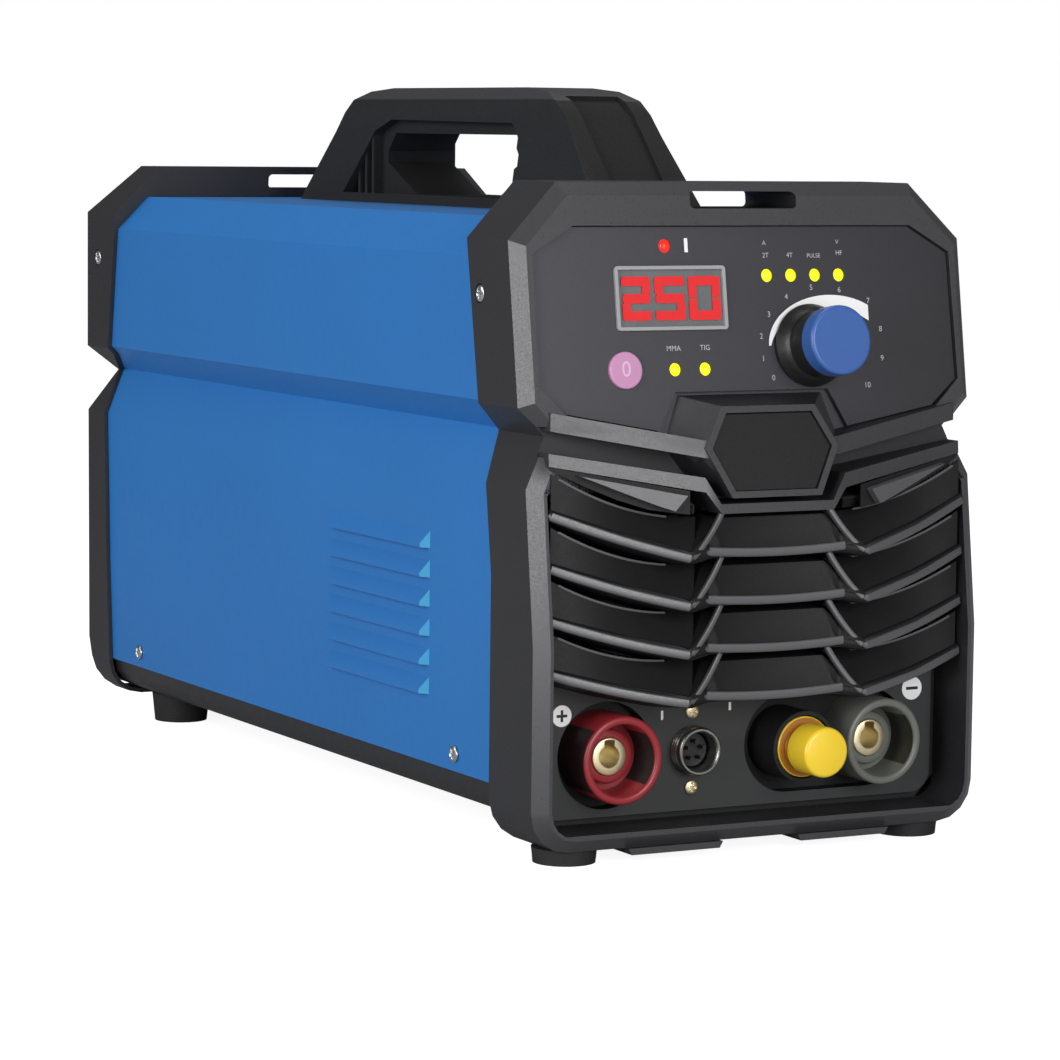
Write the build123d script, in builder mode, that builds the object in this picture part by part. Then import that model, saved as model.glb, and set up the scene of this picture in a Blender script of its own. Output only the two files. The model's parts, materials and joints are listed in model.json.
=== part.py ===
from build123d import *
import os
from math import atan2, cos, degrees, hypot, radians, sin, tan

# TIG welding power source: a folded steel cover between two moulded bezels, on a base pan.
#
# Frame: +X to the right seen from the front, +Y from the front to the rear, +Z up.
# The origin lies on the floor, midway between the front and the rear bezel. Millimetres.

os.makedirs("parts", exist_ok=True)

# ---------------------------------------------------------------- driving dimensions
depth = 460.0               # front rim to rear rim, along Y
lower_half = 100.0          # half width of both bezels below the waist
shoulder_step = 1.6         # each side stands out by this much above the waist
waist_depth = 10.0          # depth of the waist groove at each side
top_run = 21.9              # width of the slope at each top corner
bezel_top = 260.0           # height of the bezels
shoulder_z = 238.0          # height where the top corner starts
upper_z = 175.0             # the side is straight above this height
waist_z = 164.0             # height of the waist groove
lower_z = 144.5             # the side is straight below this height
corner_run = 16.0           # radius of the bottom corners
corner_steps = 4            # chords of a bottom corner
front_foot = 6.0            # clearance below the front bezel
rear_foot = 11.0            # clearance below the rear bezel and the base pan
rim_bevel = 5.0             # bevel round each bezel
lip_wall = 1.8              # bezel wall outside the cover
bottom_wall = 2.0           # bezel wall below the base pan
fit_gap = 0.2               # clearance between two moulded or folded pieces
upper_lean = 8.65           # the upper front leans back by this angle, in degrees

sheet = 1.2                 # thickness of the steel sheet
cover_top = 246.0           # top of the steel cover
cover_foot = 28.0           # lower edge of the steel cover
cover_corner = 15.0         # size of the cover's top corners

panel_recess = 2.0          # control panel below its frame
panel_thickness = 2.5
pocket_wall = 2.5           # bezel wall behind the control panel
front_stand = 3.0           # the lower front face stands this far in front of the rim
slat_reach = 13.0           # the slats stand this far in front of the rim
deck_face = 18.0            # front of the socket deck, from the rim
deck_rise = 2.5             # the deck stands this far in front of the grille's back plate
deck_floor = 25.0           # floor of the socket recesses, from the rim
plate_wall = 3.0            # thickness of that back plate
slat_rows = 5               # chevron slats, counted with the one under the band
slat_pitch = 18.5           # distance from one slat to the next

slot_half = 24.0            # half width of the strap slots
slot_low = 250.0
slot_high = 256.6

socket_x = 59.3             # distance of the output sockets from the middle
socket_z = 39.5             # height of the output sockets, the gas outlet and the plug socket
gas_x = 23.0
plug_x = -21.0
weld_bore = 9.1             # bore of the output sockets, for a 9 mm plug pin

knob_x = 27.5
knob_z = 197.0
knob_skirt = 16.4           # radius at the panel
knob_cap = 13.6             # radius of the blue cap
shaft_radius = 3.0
running_gap = 0.05          # radial clearance of shafts and of the fan bore
button_x = -56.2
button_z = 188.8
button_radius = 7.2
slide_gap = 0.1             # radial clearance of the push button

handle_middle = 5.0         # middle of the handle along Y
handle_half_length = 143.0  # half length of the handle at its foot
handle_top = 297.0
handle_foot_half = 25.0     # half width at the foot
handle_top_half = 20.0      # half width at the grip
grip_low = 277.0            # underside of the grip
grip_half = 68.5            # half length of the finger gap

fan_size = 120.0            # square frame of the fan
fan_depth = 25.0
fan_z = 80.0
fan_bore = 57.0             # radius of the fan's air duct
rear_wall = 4.0             # wall of the rear bezel behind the fan
guard_depth = 6.0           # fan guard below the rear rim
niche_depth = 11.0          # floor of the niche that holds the rear fittings, below the rear rim
niche_wall = 4.0
fitting_z = 208.0           # height of the switch, the gland and the gas inlet
rocker_x = -60.0
gland_x = 60.0
gland_bore = 9.2            # bore of the cable gland, for a 9 mm lead

upper_half = lower_half + shoulder_step          # half width above the waist
waist_half = lower_half - waist_depth            # half width at the bottom of the waist groove
top_half = upper_half - top_run                  # half width of the flat top of a bezel
grille_floor = deck_face + deck_rise             # front of the grille's back plate, from the rim
front = -depth / 2          # Y of the front rim
rear = depth / 2            # Y of the rear rim
pan_low = rear_foot + bottom_wall + fit_gap      # lower face of the base pan
base_z = pan_low + sheet                         # upper face of the base pan
slope = tan(radians(upper_lean))
cover_skin = lip_wall + fit_gap
panel_back = panel_recess + panel_thickness      # rear of the control panel, from the face
pocket_back = panel_back + pocket_wall
bezel_screw_z = 217.0       # screws that hold the bezels to the cover
front_screw_y = front + 45.8
rear_screw_y = rear - 21.0
screw_shank = 1.9
screw_head = 3.4
face_low = -front_stand     # Y of the lower front face, from the rim
face_waist = 6.8            # Y of the front face at the waist, from the rim
face_top = face_waist + (bezel_top - waist_z) * slope


# ---------------------------------------------------------------- shared outlines and planes
def upright(y):
    """Plane at depth y whose sketch axes are X and Z, facing the front."""
    return Plane(origin=(0, y, 0), x_dir=(1, 0, 0), z_dir=(0, -1, 0))


def sideways(x):
    """Plane at x whose sketch axes are Y and Z, facing +X."""
    return Plane(origin=(x, 0, 0), x_dir=(0, 1, 0), z_dir=(1, 0, 0))


def both_sides(points):
    """Close an outline given for +X only by mirroring it about X = 0."""
    return points + [(-x, z) for x, z in reversed(points) if x > 0]


def inset(chain, gap, low, high):
    """Move a half outline, given from the bottom up, inwards by a gap.

    Its two ends slide along their moved lines to the heights low and high.
    """
    moved = []
    for (x0, z0), (x1, z1) in zip(chain, chain[1:]):
        run = hypot(x1 - x0, z1 - z0)
        moved.append((x0 - gap * (z1 - z0) / run, z0 + gap * (x1 - x0) / run, x1 - x0, z1 - z0))

    def at_height(line, z):
        x, z0, dx, dz = line
        return (x + dx * (z - z0) / dz, z)

    points = [at_height(moved[0], low)]
    for (x, z, dx, dz), (u, w, du, dw) in zip(moved, moved[1:]):
        share = ((u - x) * dw - (w - z) * du) / (dx * dw - dz * du)
        points.append((x + share * dx, z + share * dz))
    return points + [at_height(moved[-1], high)]


def corner(half, foot):
    """Rounded bottom corner of a half outline as short chords, from the bottom up."""
    turns = [radians(90.0 * step / corner_steps) for step in range(corner_steps + 1)]
    return [(half - corner_run * (1 - sin(turn)), foot + corner_run * (1 - cos(turn))) for turn in turns]


def leaning(y_low, z_low, y_high, z_high):
    """Plane through two lines along X, facing the front, with its origin on the lower one."""
    lean = atan2(y_high - y_low, z_high - z_low)
    return Plane(origin=(0, y_low, z_low), x_dir=(1, 0, 0), z_dir=(0, -cos(lean), sin(lean)))


def on_plane(plane, points):
    """Sketch coordinates on a leaning plane of points given by their X and Z."""
    rise = plane.y_dir.Z
    return [(x, (z - plane.origin.Z) / rise) for x, z in points]


def bevelled_band(stretches, bevel, reach):
    """Upright band whose face is a row of flat stretches with a bevel along both sides.

    Each stretch is (y_low, z_low, y_high, z_high, half outline, height of the bevelled ends).
    The band runs from the bevel away from the face, by the distance reach along Y.
    """
    away = 1 if reach > 0 else -1
    with BuildPart() as piece:
        for y_low, z_low, y_high, z_high, chain, low, high in stretches:
            face = leaning(y_low, z_low, y_high, z_high)
            rim = leaning(y_low + away * bevel, z_low, y_high + away * bevel, z_high)
            edge = inset(chain, bevel, low, high)
            if low == z_low:
                edge[0] = (chain[0][0] - bevel, low)
            if high == z_high:
                edge[-1] = (chain[-1][0] - bevel, high)
            outer = on_plane(face, both_sides(chain))
            inner = on_plane(face, both_sides(edge))
            with BuildSketch(rim) as back:
                Polygon(*outer, align=None)
            extrude(amount=abs(reach), dir=(0, away, 0))
            with BuildSketch(rim):
                Polygon(*outer, align=None)
            with BuildSketch(face):
                Polygon(*inner, align=None)
            loft(ruled=True)
    return piece.part


def cover_chain(foot=cover_foot):
    """Half outline of the cover before the bezel's lip and its clearance are taken off."""
    return [
        (lower_half, foot),
        (lower_half, lower_z),
        (waist_half, waist_z),
        (upper_half, upper_z),
        (upper_half, cover_top - cover_corner + cover_skin * 0.4),
        (upper_half - cover_corner - cover_skin * 0.2, cover_top + cover_skin),
    ]


def cover_outline(shrink=0.0, foot=cover_foot):
    """Outline of the cover seen from the front, closed below by a straight line."""
    return both_sides(inset(cover_chain(foot), cover_skin + shrink, foot, cover_top - shrink))


panel_plane = Plane(
    origin=(0, front + face_waist, waist_z),
    x_dir=(1, 0, 0),
    z_dir=(0, -cos(radians(upper_lean)), sin(radians(upper_lean))),
)


def up(z):
    """Distance along the leaning panel plane that reaches the height z."""
    return (z - waist_z) / cos(radians(upper_lean))


def on_panel(points):
    return [(x, up(z)) for x, z in points]


def panel_point(x, z, behind):
    """Point a given distance behind the front of the leaning panel plane."""
    return panel_plane.offset(-behind).from_local_coords(Vector(x, up(z), 0))


def save(builder, name):
    builder.part.label = name
    export_step(builder.part, f"parts/{name}.step")


def strip(sections):
    """Solid through upright sections at rising X, each a list of (y, z), joined by flat faces."""
    with BuildPart() as piece:
        for x, points in sections:
            with BuildSketch(sideways(x)):
                Polygon(*[(front + y, z) for y, z in points], align=None)
        loft(ruled=True)
    return piece.part


def mirrored_sections(sections):
    """Repeat sections given at falling X on the other side of the middle."""
    return [(-x, points) for x, points in sections] + list(reversed(sections))


# ---------------------------------------------------------------- front bezel
knee_z = 85.0               # the front face is upright below this height
front_back = [
    (front - 20.0, 0.0),
    (front + 34.0, 0.0),
    (front + 37.0, 24.0),
    (front + 37.0, 110.0),
    (front + 42.0, lower_z),
    (front + 51.0, waist_z),
    (front + 46.0, upper_z),
    (front + 57.0, shoulder_z),
    (front + 60.0, bezel_top),
    (front - 20.0, bezel_top),
]
foot_chain = corner(lower_half, front_foot) + [(lower_half, knee_z)]
hip_chain = [(lower_half, knee_z), (lower_half, lower_z), (waist_half, waist_z)]
head_chain = [(waist_half, waist_z), (upper_half, upper_z), (upper_half, shoulder_z), (top_half, bezel_top)]
front_band = bevelled_band(
    [
        (front + face_low, front_foot, front + face_low, knee_z, foot_chain,
         front_foot + rim_bevel, knee_z),
        (front + face_low, knee_z, front + face_waist, waist_z, hip_chain, knee_z, waist_z),
        (front + face_waist, waist_z, front + face_top, bezel_top, head_chain,
         waist_z, bezel_top - rim_bevel),
    ],
    rim_bevel,
    80.0,
)


def cavity_outline(foot):
    """Outline of the hollow inside a bezel: the cover and its clearance, with rounded low corners."""
    chain = corner(lower_half, foot) + cover_chain()[1:]
    return both_sides(inset(chain, lip_wall, foot + bottom_wall, cover_top + fit_gap))


plate_top = 155.8           # top of the room for the grille's back plate
with BuildPart() as front_cavity:
    with BuildSketch(upright(front + 70.0)):
        Polygon(*cavity_outline(front_foot), align=None)
    extrude(amount=70.0)
    with BuildSketch(sideways(0)):
        Polygon(
            (front + grille_floor, 0),
            (front + 80.0, 0),
            (front + 80.0, bezel_top),
            (front + face_top + pocket_back, bezel_top),
            (front + face_waist + pocket_back, waist_z),
            (front + face_waist + pocket_back, plate_top + fit_gap),
            (front + grille_floor, plate_top + fit_gap),
            align=None,
        )
    extrude(amount=lower_half, both=True, mode=Mode.INTERSECT)

pocket = [
    (top_half - 3.7, 243.5),
    (upper_half - 7.8, 233.0),
    (upper_half - 7.0, 183.0),
    (upper_half - 19.2, 171.4),
]
window = [
    (top_half - 5.7, 240.2),
    (upper_half - 11.6, 230.5),
    (upper_half - 11.6, 184.0),
    (upper_half - 21.6, 178.8),
    (42.0, 178.8),
    (38.0, 183.5),
]
frame_wide = 6.4            # front frame round the grille, seen from the front
opening_top = 142.0
opening = [(25.5, 134.6), (31.0, 142.6), (waist_half - 2.0, 152.6)] + inset(
    corner(lower_half, front_foot) + [(lower_half, opening_top)], frame_wide,
    front_foot + frame_wide + 0.6, opening_top,
)[::-1]

band_back = 14.3            # rear of the band and the brow, from the rim
groove_floor = 13.5         # front of the wall at the bottom of the waist groove, from the rim
groove_wall = 3.0
band_x = waist_half + 2.5   # outer end of the band
band = strip(mirrored_sections([
    (band_x, [(5.4, 158.3), (5.0, 153.4), (band_back, 153.4), (band_back, 158.3)]),
    (31.5, [(-7.5, 148.4), (-8.3, 142.8), (band_back, 142.8), (band_back, 148.4)]),
    (25.2, [(-9.3, 138.2), (-9.8, 134.5), (band_back, 134.5), (band_back, 138.2)]),
]))
brow_x, brow_z = waist_half + 1.0, 173.5         # outer end of the brow's upper edge
brow_mid_x, brow_mid_z = 30.0, 162.4             # inner end of it
brow = strip(mirrored_sections([
    (brow_x, [(6.9, brow_z), (7.0, 166.5), (band_back, 166.5), (band_back, brow_z)]),
    (brow_mid_x, [(-3.2, brow_mid_z), (-4.8, 155.6), (band_back, 155.6), (band_back, brow_mid_z)]),
    (10.0, [(-3.2, brow_mid_z), (-4.8, 155.6), (band_back, 155.6), (band_back, brow_mid_z)]),
]))


def brow_top(x):
    """Height of the brow's upper edge at a distance x from the middle."""
    return brow_mid_z + (x - brow_mid_x) * (brow_z - brow_mid_z) / (brow_x - brow_mid_x)


hexagon_lean = degrees(atan2(8.0, 34.3))
hexagon_plane = Plane(
    origin=(0, front - 5.0, 158.0),
    x_dir=(1, 0, 0),
    z_dir=(0, -cos(radians(hexagon_lean)), sin(radians(hexagon_lean))),
)
hexagon = [(20.0, -18.2), (29.8, 1.0), (20.9, 17.4)]
rim_wide = 2.6
block_root = [(22.0, 140.0), (41.0, 162.0), (33.0, 178.6)]
badge_recess = 2.4
badge = [(20.0 - 1.6, -18.2 + rim_wide), (29.8 - 2.9, 1.0), (20.9 - 1.6, 17.4 - rim_wide)]

with BuildPart() as front_bezel:
    add(front_band)
    with BuildSketch(sideways(0)):
        Polygon(*front_back, align=None)
    extrude(amount=2 * lower_half, both=True, mode=Mode.INTERSECT)
    add(front_cavity.part, mode=Mode.SUBTRACT)
    # Pocket of the control panel, and the window behind it.
    with BuildSketch(panel_plane):
        Polygon(*on_panel(both_sides([(0.0, 152.0)] + pocket[::-1])), align=None)
    extrude(amount=-(panel_recess + panel_thickness), mode=Mode.SUBTRACT)
    with BuildSketch(panel_plane):
        Polygon(*on_panel(both_sides(window[::-1])), align=None)
    extrude(amount=-20.0, mode=Mode.SUBTRACT)
    # Opening of the grille.
    with BuildSketch(upright(front + 30.0)):
        Polygon(*both_sides(opening), align=None)
    extrude(amount=50.0, mode=Mode.SUBTRACT)
    # Waist groove, its wall, then the band, the brow and the hexagon that stand out of it.
    with BuildSketch(upright(front + groove_floor)):
        Polygon(*both_sides([
            (25.2, 136.5), (31.5, 146.5), (band_x, 156.5), (upper_half, 158.0), (upper_half, 168.0),
            (brow_x, 168.0), (brow_mid_x, 157.5),
        ]), align=None)
    extrude(amount=50.0, mode=Mode.SUBTRACT)
    with BuildSketch(upright(front + groove_floor + groove_wall)):
        Polygon(*both_sides([
            (25.2, 134.5), (31.5, 142.8), (band_x + 2.0, 153.4), (waist_half - lip_wall / 2, waist_z),
            (upper_half - 5.1, 171.0), (34.0, 176.5),
        ]), align=None)
    extrude(amount=groove_wall)
    add(band)
    add(brow)
    with BuildSketch(hexagon_plane):
        Polygon(*both_sides(hexagon), align=None)
    with BuildSketch(upright(front + band_back)):
        Polygon(*both_sides(block_root), align=None)
    loft(ruled=True)
    with BuildSketch(hexagon_plane):
        Polygon(*both_sides(badge), align=None)
    extrude(amount=-badge_recess, mode=Mode.SUBTRACT)
    # Slot for a carrying strap, through the top.
    with BuildSketch(upright(front + 90.0)):
        with Locations((0, (slot_low + slot_high) / 2)):
            RectangleRounded(2 * slot_half, slot_high - slot_low, 2.0)
    extrude(amount=110.0, mode=Mode.SUBTRACT)
    # Pads under the front rim.
    with BuildSketch(upright(front + 30.0)):
        for side in (-1, 1):
            with Locations((side * 38.0, front_foot - 1.2)):
                Trapezoid(42.0, 2.6, 60.0, rotation=180)
    extrude(amount=31.0)
    # Seats of the side screws.
    for side in (-1, 1):
        with BuildSketch(Plane(origin=(side * (upper_half + 1.0), 0, 0), x_dir=(0, 1, 0), z_dir=(-side, 0, 0))):
            with Locations((front_screw_y, -side * bezel_screw_z)):
                Circle(screw_head + 0.4)
        extrude(amount=2.0, mode=Mode.SUBTRACT)
    with BuildSketch(sideways(-upper_half - 5.0)):
        with Locations((front_screw_y, bezel_screw_z)):
            Circle(screw_shank + fit_gap)
    extrude(amount=2 * upper_half + 10.0, mode=Mode.SUBTRACT)
save(front_bezel, "front_bezel")

# ---------------------------------------------------------------- badge, control panel and display
with BuildPart() as badge_plate:
    with BuildSketch(hexagon_plane.offset(-badge_recess)):
        Polygon(*both_sides(inset(badge, fit_gap, badge[0][1] + fit_gap, badge[-1][1] - fit_gap)), align=None)
    extrude(amount=1.5)
save(badge_plate, "badge_plate")

display_x, display_z = -34.2, 216.0
display_wide, display_high = 49.0, 24.8
display_rim = 1.4           # rim round the display window
rim_overlap = 0.6           # the rim covers the edge of the panel's hole by this much
led_radius = 2.5
led_gap = 0.1
red_led = (-35.3, 236.0)
yellow_leds = [(-33.8, button_z), (-20.4, button_z)] + [(9.8 + 11.0 * i, 224.4) for i in range(4)]
board_gap = 10.0            # control board behind the panel
board_front = panel_back + board_gap
board_thickness = 1.6
pillar_x = upper_half - 25.6
pillar_spots = [(x, z) for x in (-pillar_x, pillar_x) for z in (190.0, 228.0)]
bush_radius = 3.6

brow_clear = fit_gap + panel_back * slope     # the panel's edge is square to its leaning face
panel_chain = [
    (block_root[1][0] + 1.5, brow_top(block_root[1][0] + 1.5) + brow_clear),
    (pocket[-1][0], brow_top(pocket[-1][0]) + brow_clear),
    (pocket[2][0] - fit_gap, pocket[2][1]),
    (pocket[1][0] - fit_gap, pocket[1][1] - fit_gap),
    (pocket[0][0] - fit_gap, pocket[0][1] - fit_gap),
]
with BuildPart() as control_panel:
    with BuildSketch(panel_plane.offset(-panel_recess)):
        Polygon(*on_panel(both_sides([(block_root[2][0] + 1.5, 180.2)] + panel_chain)), align=None)
        with Locations((display_x, up(display_z))):
            Rectangle(display_wide - 2 * rim_overlap, display_high - 2 * rim_overlap, mode=Mode.SUBTRACT)
        with Locations(*on_panel([red_led] + yellow_leds)):
            Circle(led_radius + led_gap, mode=Mode.SUBTRACT)
        with Locations((button_x, up(button_z))):
            Circle(button_radius + slide_gap, mode=Mode.SUBTRACT)
        with Locations((knob_x, up(knob_z))):
            Circle(bush_radius + slide_gap, mode=Mode.SUBTRACT)
    extrude(amount=-panel_thickness)
save(control_panel, "control_panel")

display_lip = 1.4
with BuildPart() as display_bezel:
    with BuildSketch(panel_plane.offset(-panel_recess)):
        with Locations((display_x, up(display_z))):
            RectangleRounded(display_wide, display_high, 1.5)
    extrude(amount=display_lip)
    with BuildSketch(panel_plane.offset(-panel_recess)):
        with Locations((display_x, up(display_z))):
            Rectangle(display_wide - 2 * rim_overlap - 2 * fit_gap, display_high - 2 * rim_overlap - 2 * fit_gap)
    extrude(amount=-panel_thickness)
    with BuildSketch(panel_plane.offset(display_lip - panel_recess)):
        with Locations((display_x, up(display_z))):
            Rectangle(display_wide - 2 * display_rim, display_high - 2 * display_rim)
    extrude(amount=-display_lip - panel_thickness, mode=Mode.SUBTRACT)
save(display_bezel, "display_bezel")

with BuildPart() as display_window:
    with BuildSketch(panel_plane.offset(-panel_recess)):
        with Locations((display_x, up(display_z))):
            Rectangle(display_wide - 2 * display_rim, display_high - 2 * display_rim)
    extrude(amount=-1.5)
save(display_window, "display_window")

with BuildPart() as display_module:
    with BuildSketch(panel_plane.offset(-panel_recess - 1.5)):
        with Locations((display_x, up(display_z))):
            Rectangle(display_wide - 2 * display_rim - 0.8, display_high - 2 * display_rim - 0.8)
    extrude(amount=-(board_front - panel_recess - 1.5))
save(display_module, "display_module")


def led(spots):
    """Domed lamps that stand on the control board and reach through the panel."""
    with BuildPart() as lamps:
        with BuildSketch(panel_plane.offset(-board_front)):
            with Locations(*on_panel(spots)):
                Circle(led_radius)
        extrude(amount=board_front - panel_recess - 0.6)
        for x, z in spots:
            with Locations(panel_plane.offset(-panel_recess - 0.6).location * Location((x, up(z), 0))):
                Sphere(led_radius, arc_size1=0)
    return lamps


power_led = led([red_led])
save(power_led, "power_led")
status_leds = led(yellow_leds)
save(status_leds, "status_leds")

with BuildPart() as control_board:
    with BuildSketch(panel_plane.offset(-board_front)):
        with Locations((0, up(209.0))):
            Rectangle(2 * upper_half - 37.2, 52.0)
    extrude(amount=-board_thickness)
save(control_board, "control_board")

with BuildPart() as board_pillars:
    with BuildSketch(panel_plane.offset(-panel_back)):
        with Locations(*on_panel(pillar_spots)):
            RegularPolygon(3.2, 6)
    extrude(amount=-board_gap)
save(board_pillars, "board_pillars")

# ---------------------------------------------------------------- push button
button_travel = 1.2
with BuildPart() as mode_button:
    with BuildSketch(panel_plane.offset(-panel_back - 0.05)):
        with Locations((button_x, up(button_z))):
            Circle(button_radius + 1.4)
    extrude(amount=-1.4)
    with BuildSketch(panel_plane.offset(-panel_back - 0.05)):
        with Locations((button_x, up(button_z))):
            Circle(button_radius)
    extrude(amount=panel_thickness + 1.6)
    fillet(mode_button.edges().filter_by(GeomType.CIRCLE).sort_by(Axis.Y)[0], 0.7)
save(mode_button, "mode_button")

with BuildPart() as button_switch:
    with BuildSketch(panel_plane.offset(-board_front)):
        with Locations((button_x, up(button_z))):
            Rectangle(12.0, 11.0)
    extrude(amount=4.0)
    with BuildSketch(panel_plane.offset(-board_front + 4.0)):
        with Locations((button_x, up(button_z))):
            Circle(3.0)
    extrude(amount=board_gap - 4.0 - 1.45 - button_travel - 0.3)
save(button_switch, "button_switch")

# ---------------------------------------------------------------- current knob and its potentiometer
knob_base = 0.4             # knob above the panel
knob_height = 23.5
cap_low = 16.0              # underside of the coloured cap
cap_spigot = 9.0            # radius of the spigot that carries the cap
spigot_high = 5.0
knob_plane = Plane(
    origin=panel_point(knob_x, knob_z, panel_recess),
    x_dir=panel_plane.x_dir,
    z_dir=panel_plane.z_dir,
)
with BuildPart() as potentiometer:
    with BuildSketch(knob_plane.offset(-panel_thickness)):
        Circle(8.4)
    extrude(amount=-board_gap)
    with BuildSketch(knob_plane.offset(-panel_thickness)):
        Circle(bush_radius)
    extrude(amount=panel_thickness + 3.2)
    with BuildSketch(knob_plane.offset(4.0)):
        Circle(shaft_radius + running_gap)
    extrude(amount=-4.0 - panel_thickness - 6.0, mode=Mode.SUBTRACT)
save(potentiometer, "potentiometer")

with BuildPart() as potentiometer_nut:
    with BuildSketch(knob_plane):
        RegularPolygon(6.0, 6)
        Circle(bush_radius, mode=Mode.SUBTRACT)
    extrude(amount=2.2)
save(potentiometer_nut, "potentiometer_nut")

with BuildPart() as knob_shaft:
    with BuildSketch(knob_plane.offset(-panel_thickness - 5.7)):
        Circle(shaft_radius)
    extrude(amount=panel_thickness + 5.7 + 13.0)
save(knob_shaft, "knob_shaft")

with BuildPart() as knob_body:
    with BuildSketch(Plane(origin=knob_plane.origin, x_dir=knob_plane.x_dir, z_dir=-knob_plane.y_dir)):
        with BuildLine():
            Polyline(
                (shaft_radius, 4.2),
                (7.6, 4.2),
                (7.6, knob_base),
                (knob_skirt - 0.6, knob_base),
                (knob_skirt, knob_base + 1.0),
                (knob_cap + 0.9, 5.0),
                (knob_cap - 0.6, 6.6),
                (knob_cap - 0.6, cap_low),
                (cap_spigot, cap_low),
                (cap_spigot, cap_low + spigot_high),
                (shaft_radius, cap_low + spigot_high),
                close=True,
            )
        make_face()
    revolve(axis=Axis(knob_plane.origin, knob_plane.z_dir))
save(knob_body, "knob_body")

with BuildPart() as blue_cap:
    with BuildSketch(knob_plane.offset(cap_low)):
        Circle(knob_cap)
    extrude(amount=knob_height - cap_low)
    with BuildSketch(knob_plane.offset(cap_low)):
        Circle(cap_spigot)
    extrude(amount=spigot_high, mode=Mode.SUBTRACT)
    fillet(blue_cap.edges().filter_by(GeomType.CIRCLE).sort_by(Axis.Y)[0], 1.4)
save(blue_cap, "knob_cap")

# ---------------------------------------------------------------- grille and socket deck
slat_tip = lower_half - 7.2 # half width of the slats
wing_x = 39.0               # where the wings end and the centre begins
ridge_x = 24.7
plate_chain = [
    (lower_half - 16.0, 11.8),
    (lower_half - 4.0, 24.0),
    (lower_half - 4.0, 139.0),
    (waist_half - 0.8, 155.4),
    (31.3, 145.4),
    (25.4, 137.3),
]
deck_half = lower_half - 9.5
deck_low = 15.5
deck_corner = 9.0
deck_back = grille_floor + plate_wall           # rear face of the deck, from the rim
cup_wall = 2.6
cup_back = deck_floor + plate_wall
cup_radius = 21.0
long_cup_half = 19.8
outlet_ring = 14.2          # radius of the ring round the gas outlet
outlet_ring_wall = 1.6
outlet_ring_front = 5.0
root = grille_floor + 1.0
shell_radius = 12.8         # plastic shell of an output socket
gas_body = 5.0              # radius of the gas fitting where it passes the deck
plug_barrel = 8.0           # radius of the torch control socket
plug_screw_spots = [(plug_x, socket_z + 15.0), (plug_x, socket_z - 15.0)]


def slat_heights(row):
    """Lip height of a slat at its tip, at the wing's inner end and at the centre, for a row."""
    return 136.5 - (slat_pitch + 1.6) * row, 119.5 - slat_pitch * row, 121.0 - slat_pitch * row


def slat(row):
    """One chevron slat: two wings that sweep down and forward, and a hooded centre."""
    tip, wing, mid = slat_heights(row)
    half = (tip + wing) / 2
    return strip(mirrored_sections([
        (slat_tip, [(2.0, tip - 3.2), (1.7, tip), (3.4, tip + 0.9), (root, tip + 2.4), (root, tip - 6.0)]),
        ((slat_tip + wing_x) / 2, [(-6.6, half - 4.2), (-6.9, half - 1.0), (-5.0, half + 0.1), (root, half + 2.6), (root, half - 7.4)]),
        (wing_x, [
            (0.4 - slat_reach, wing - 3.2), (-slat_reach, wing), (1.6 - slat_reach, wing + 1.2),
            (root, wing + 4.0), (root, wing - 7.0),
        ]),
        (29.7, [(-10.0, mid - 3.2), (-10.5, mid), (-7.4, mid + 7.0), (root, mid + 8.4), (root, mid - 6.0)]),
        (ridge_x, [(-9.8, mid - 3.2), (-10.3, mid), (-4.0, mid + 11.5), (root, mid + 12.6), (root, mid - 6.0)]),
    ]))


def cups(grow, low, high):
    """Round cup of the left socket and long cup of the gas outlet and the right socket."""
    with BuildPart() as piece:
        with BuildSketch(upright(front + high)):
            with Locations((-socket_x, socket_z)):
                Circle(cup_radius + grow)
            with Locations(((gas_x + socket_x) / 2, socket_z)):
                SlotCenterToCenter(socket_x - gas_x, 2 * (long_cup_half + grow))
        extrude(amount=high - low)
    return piece.part


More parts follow.
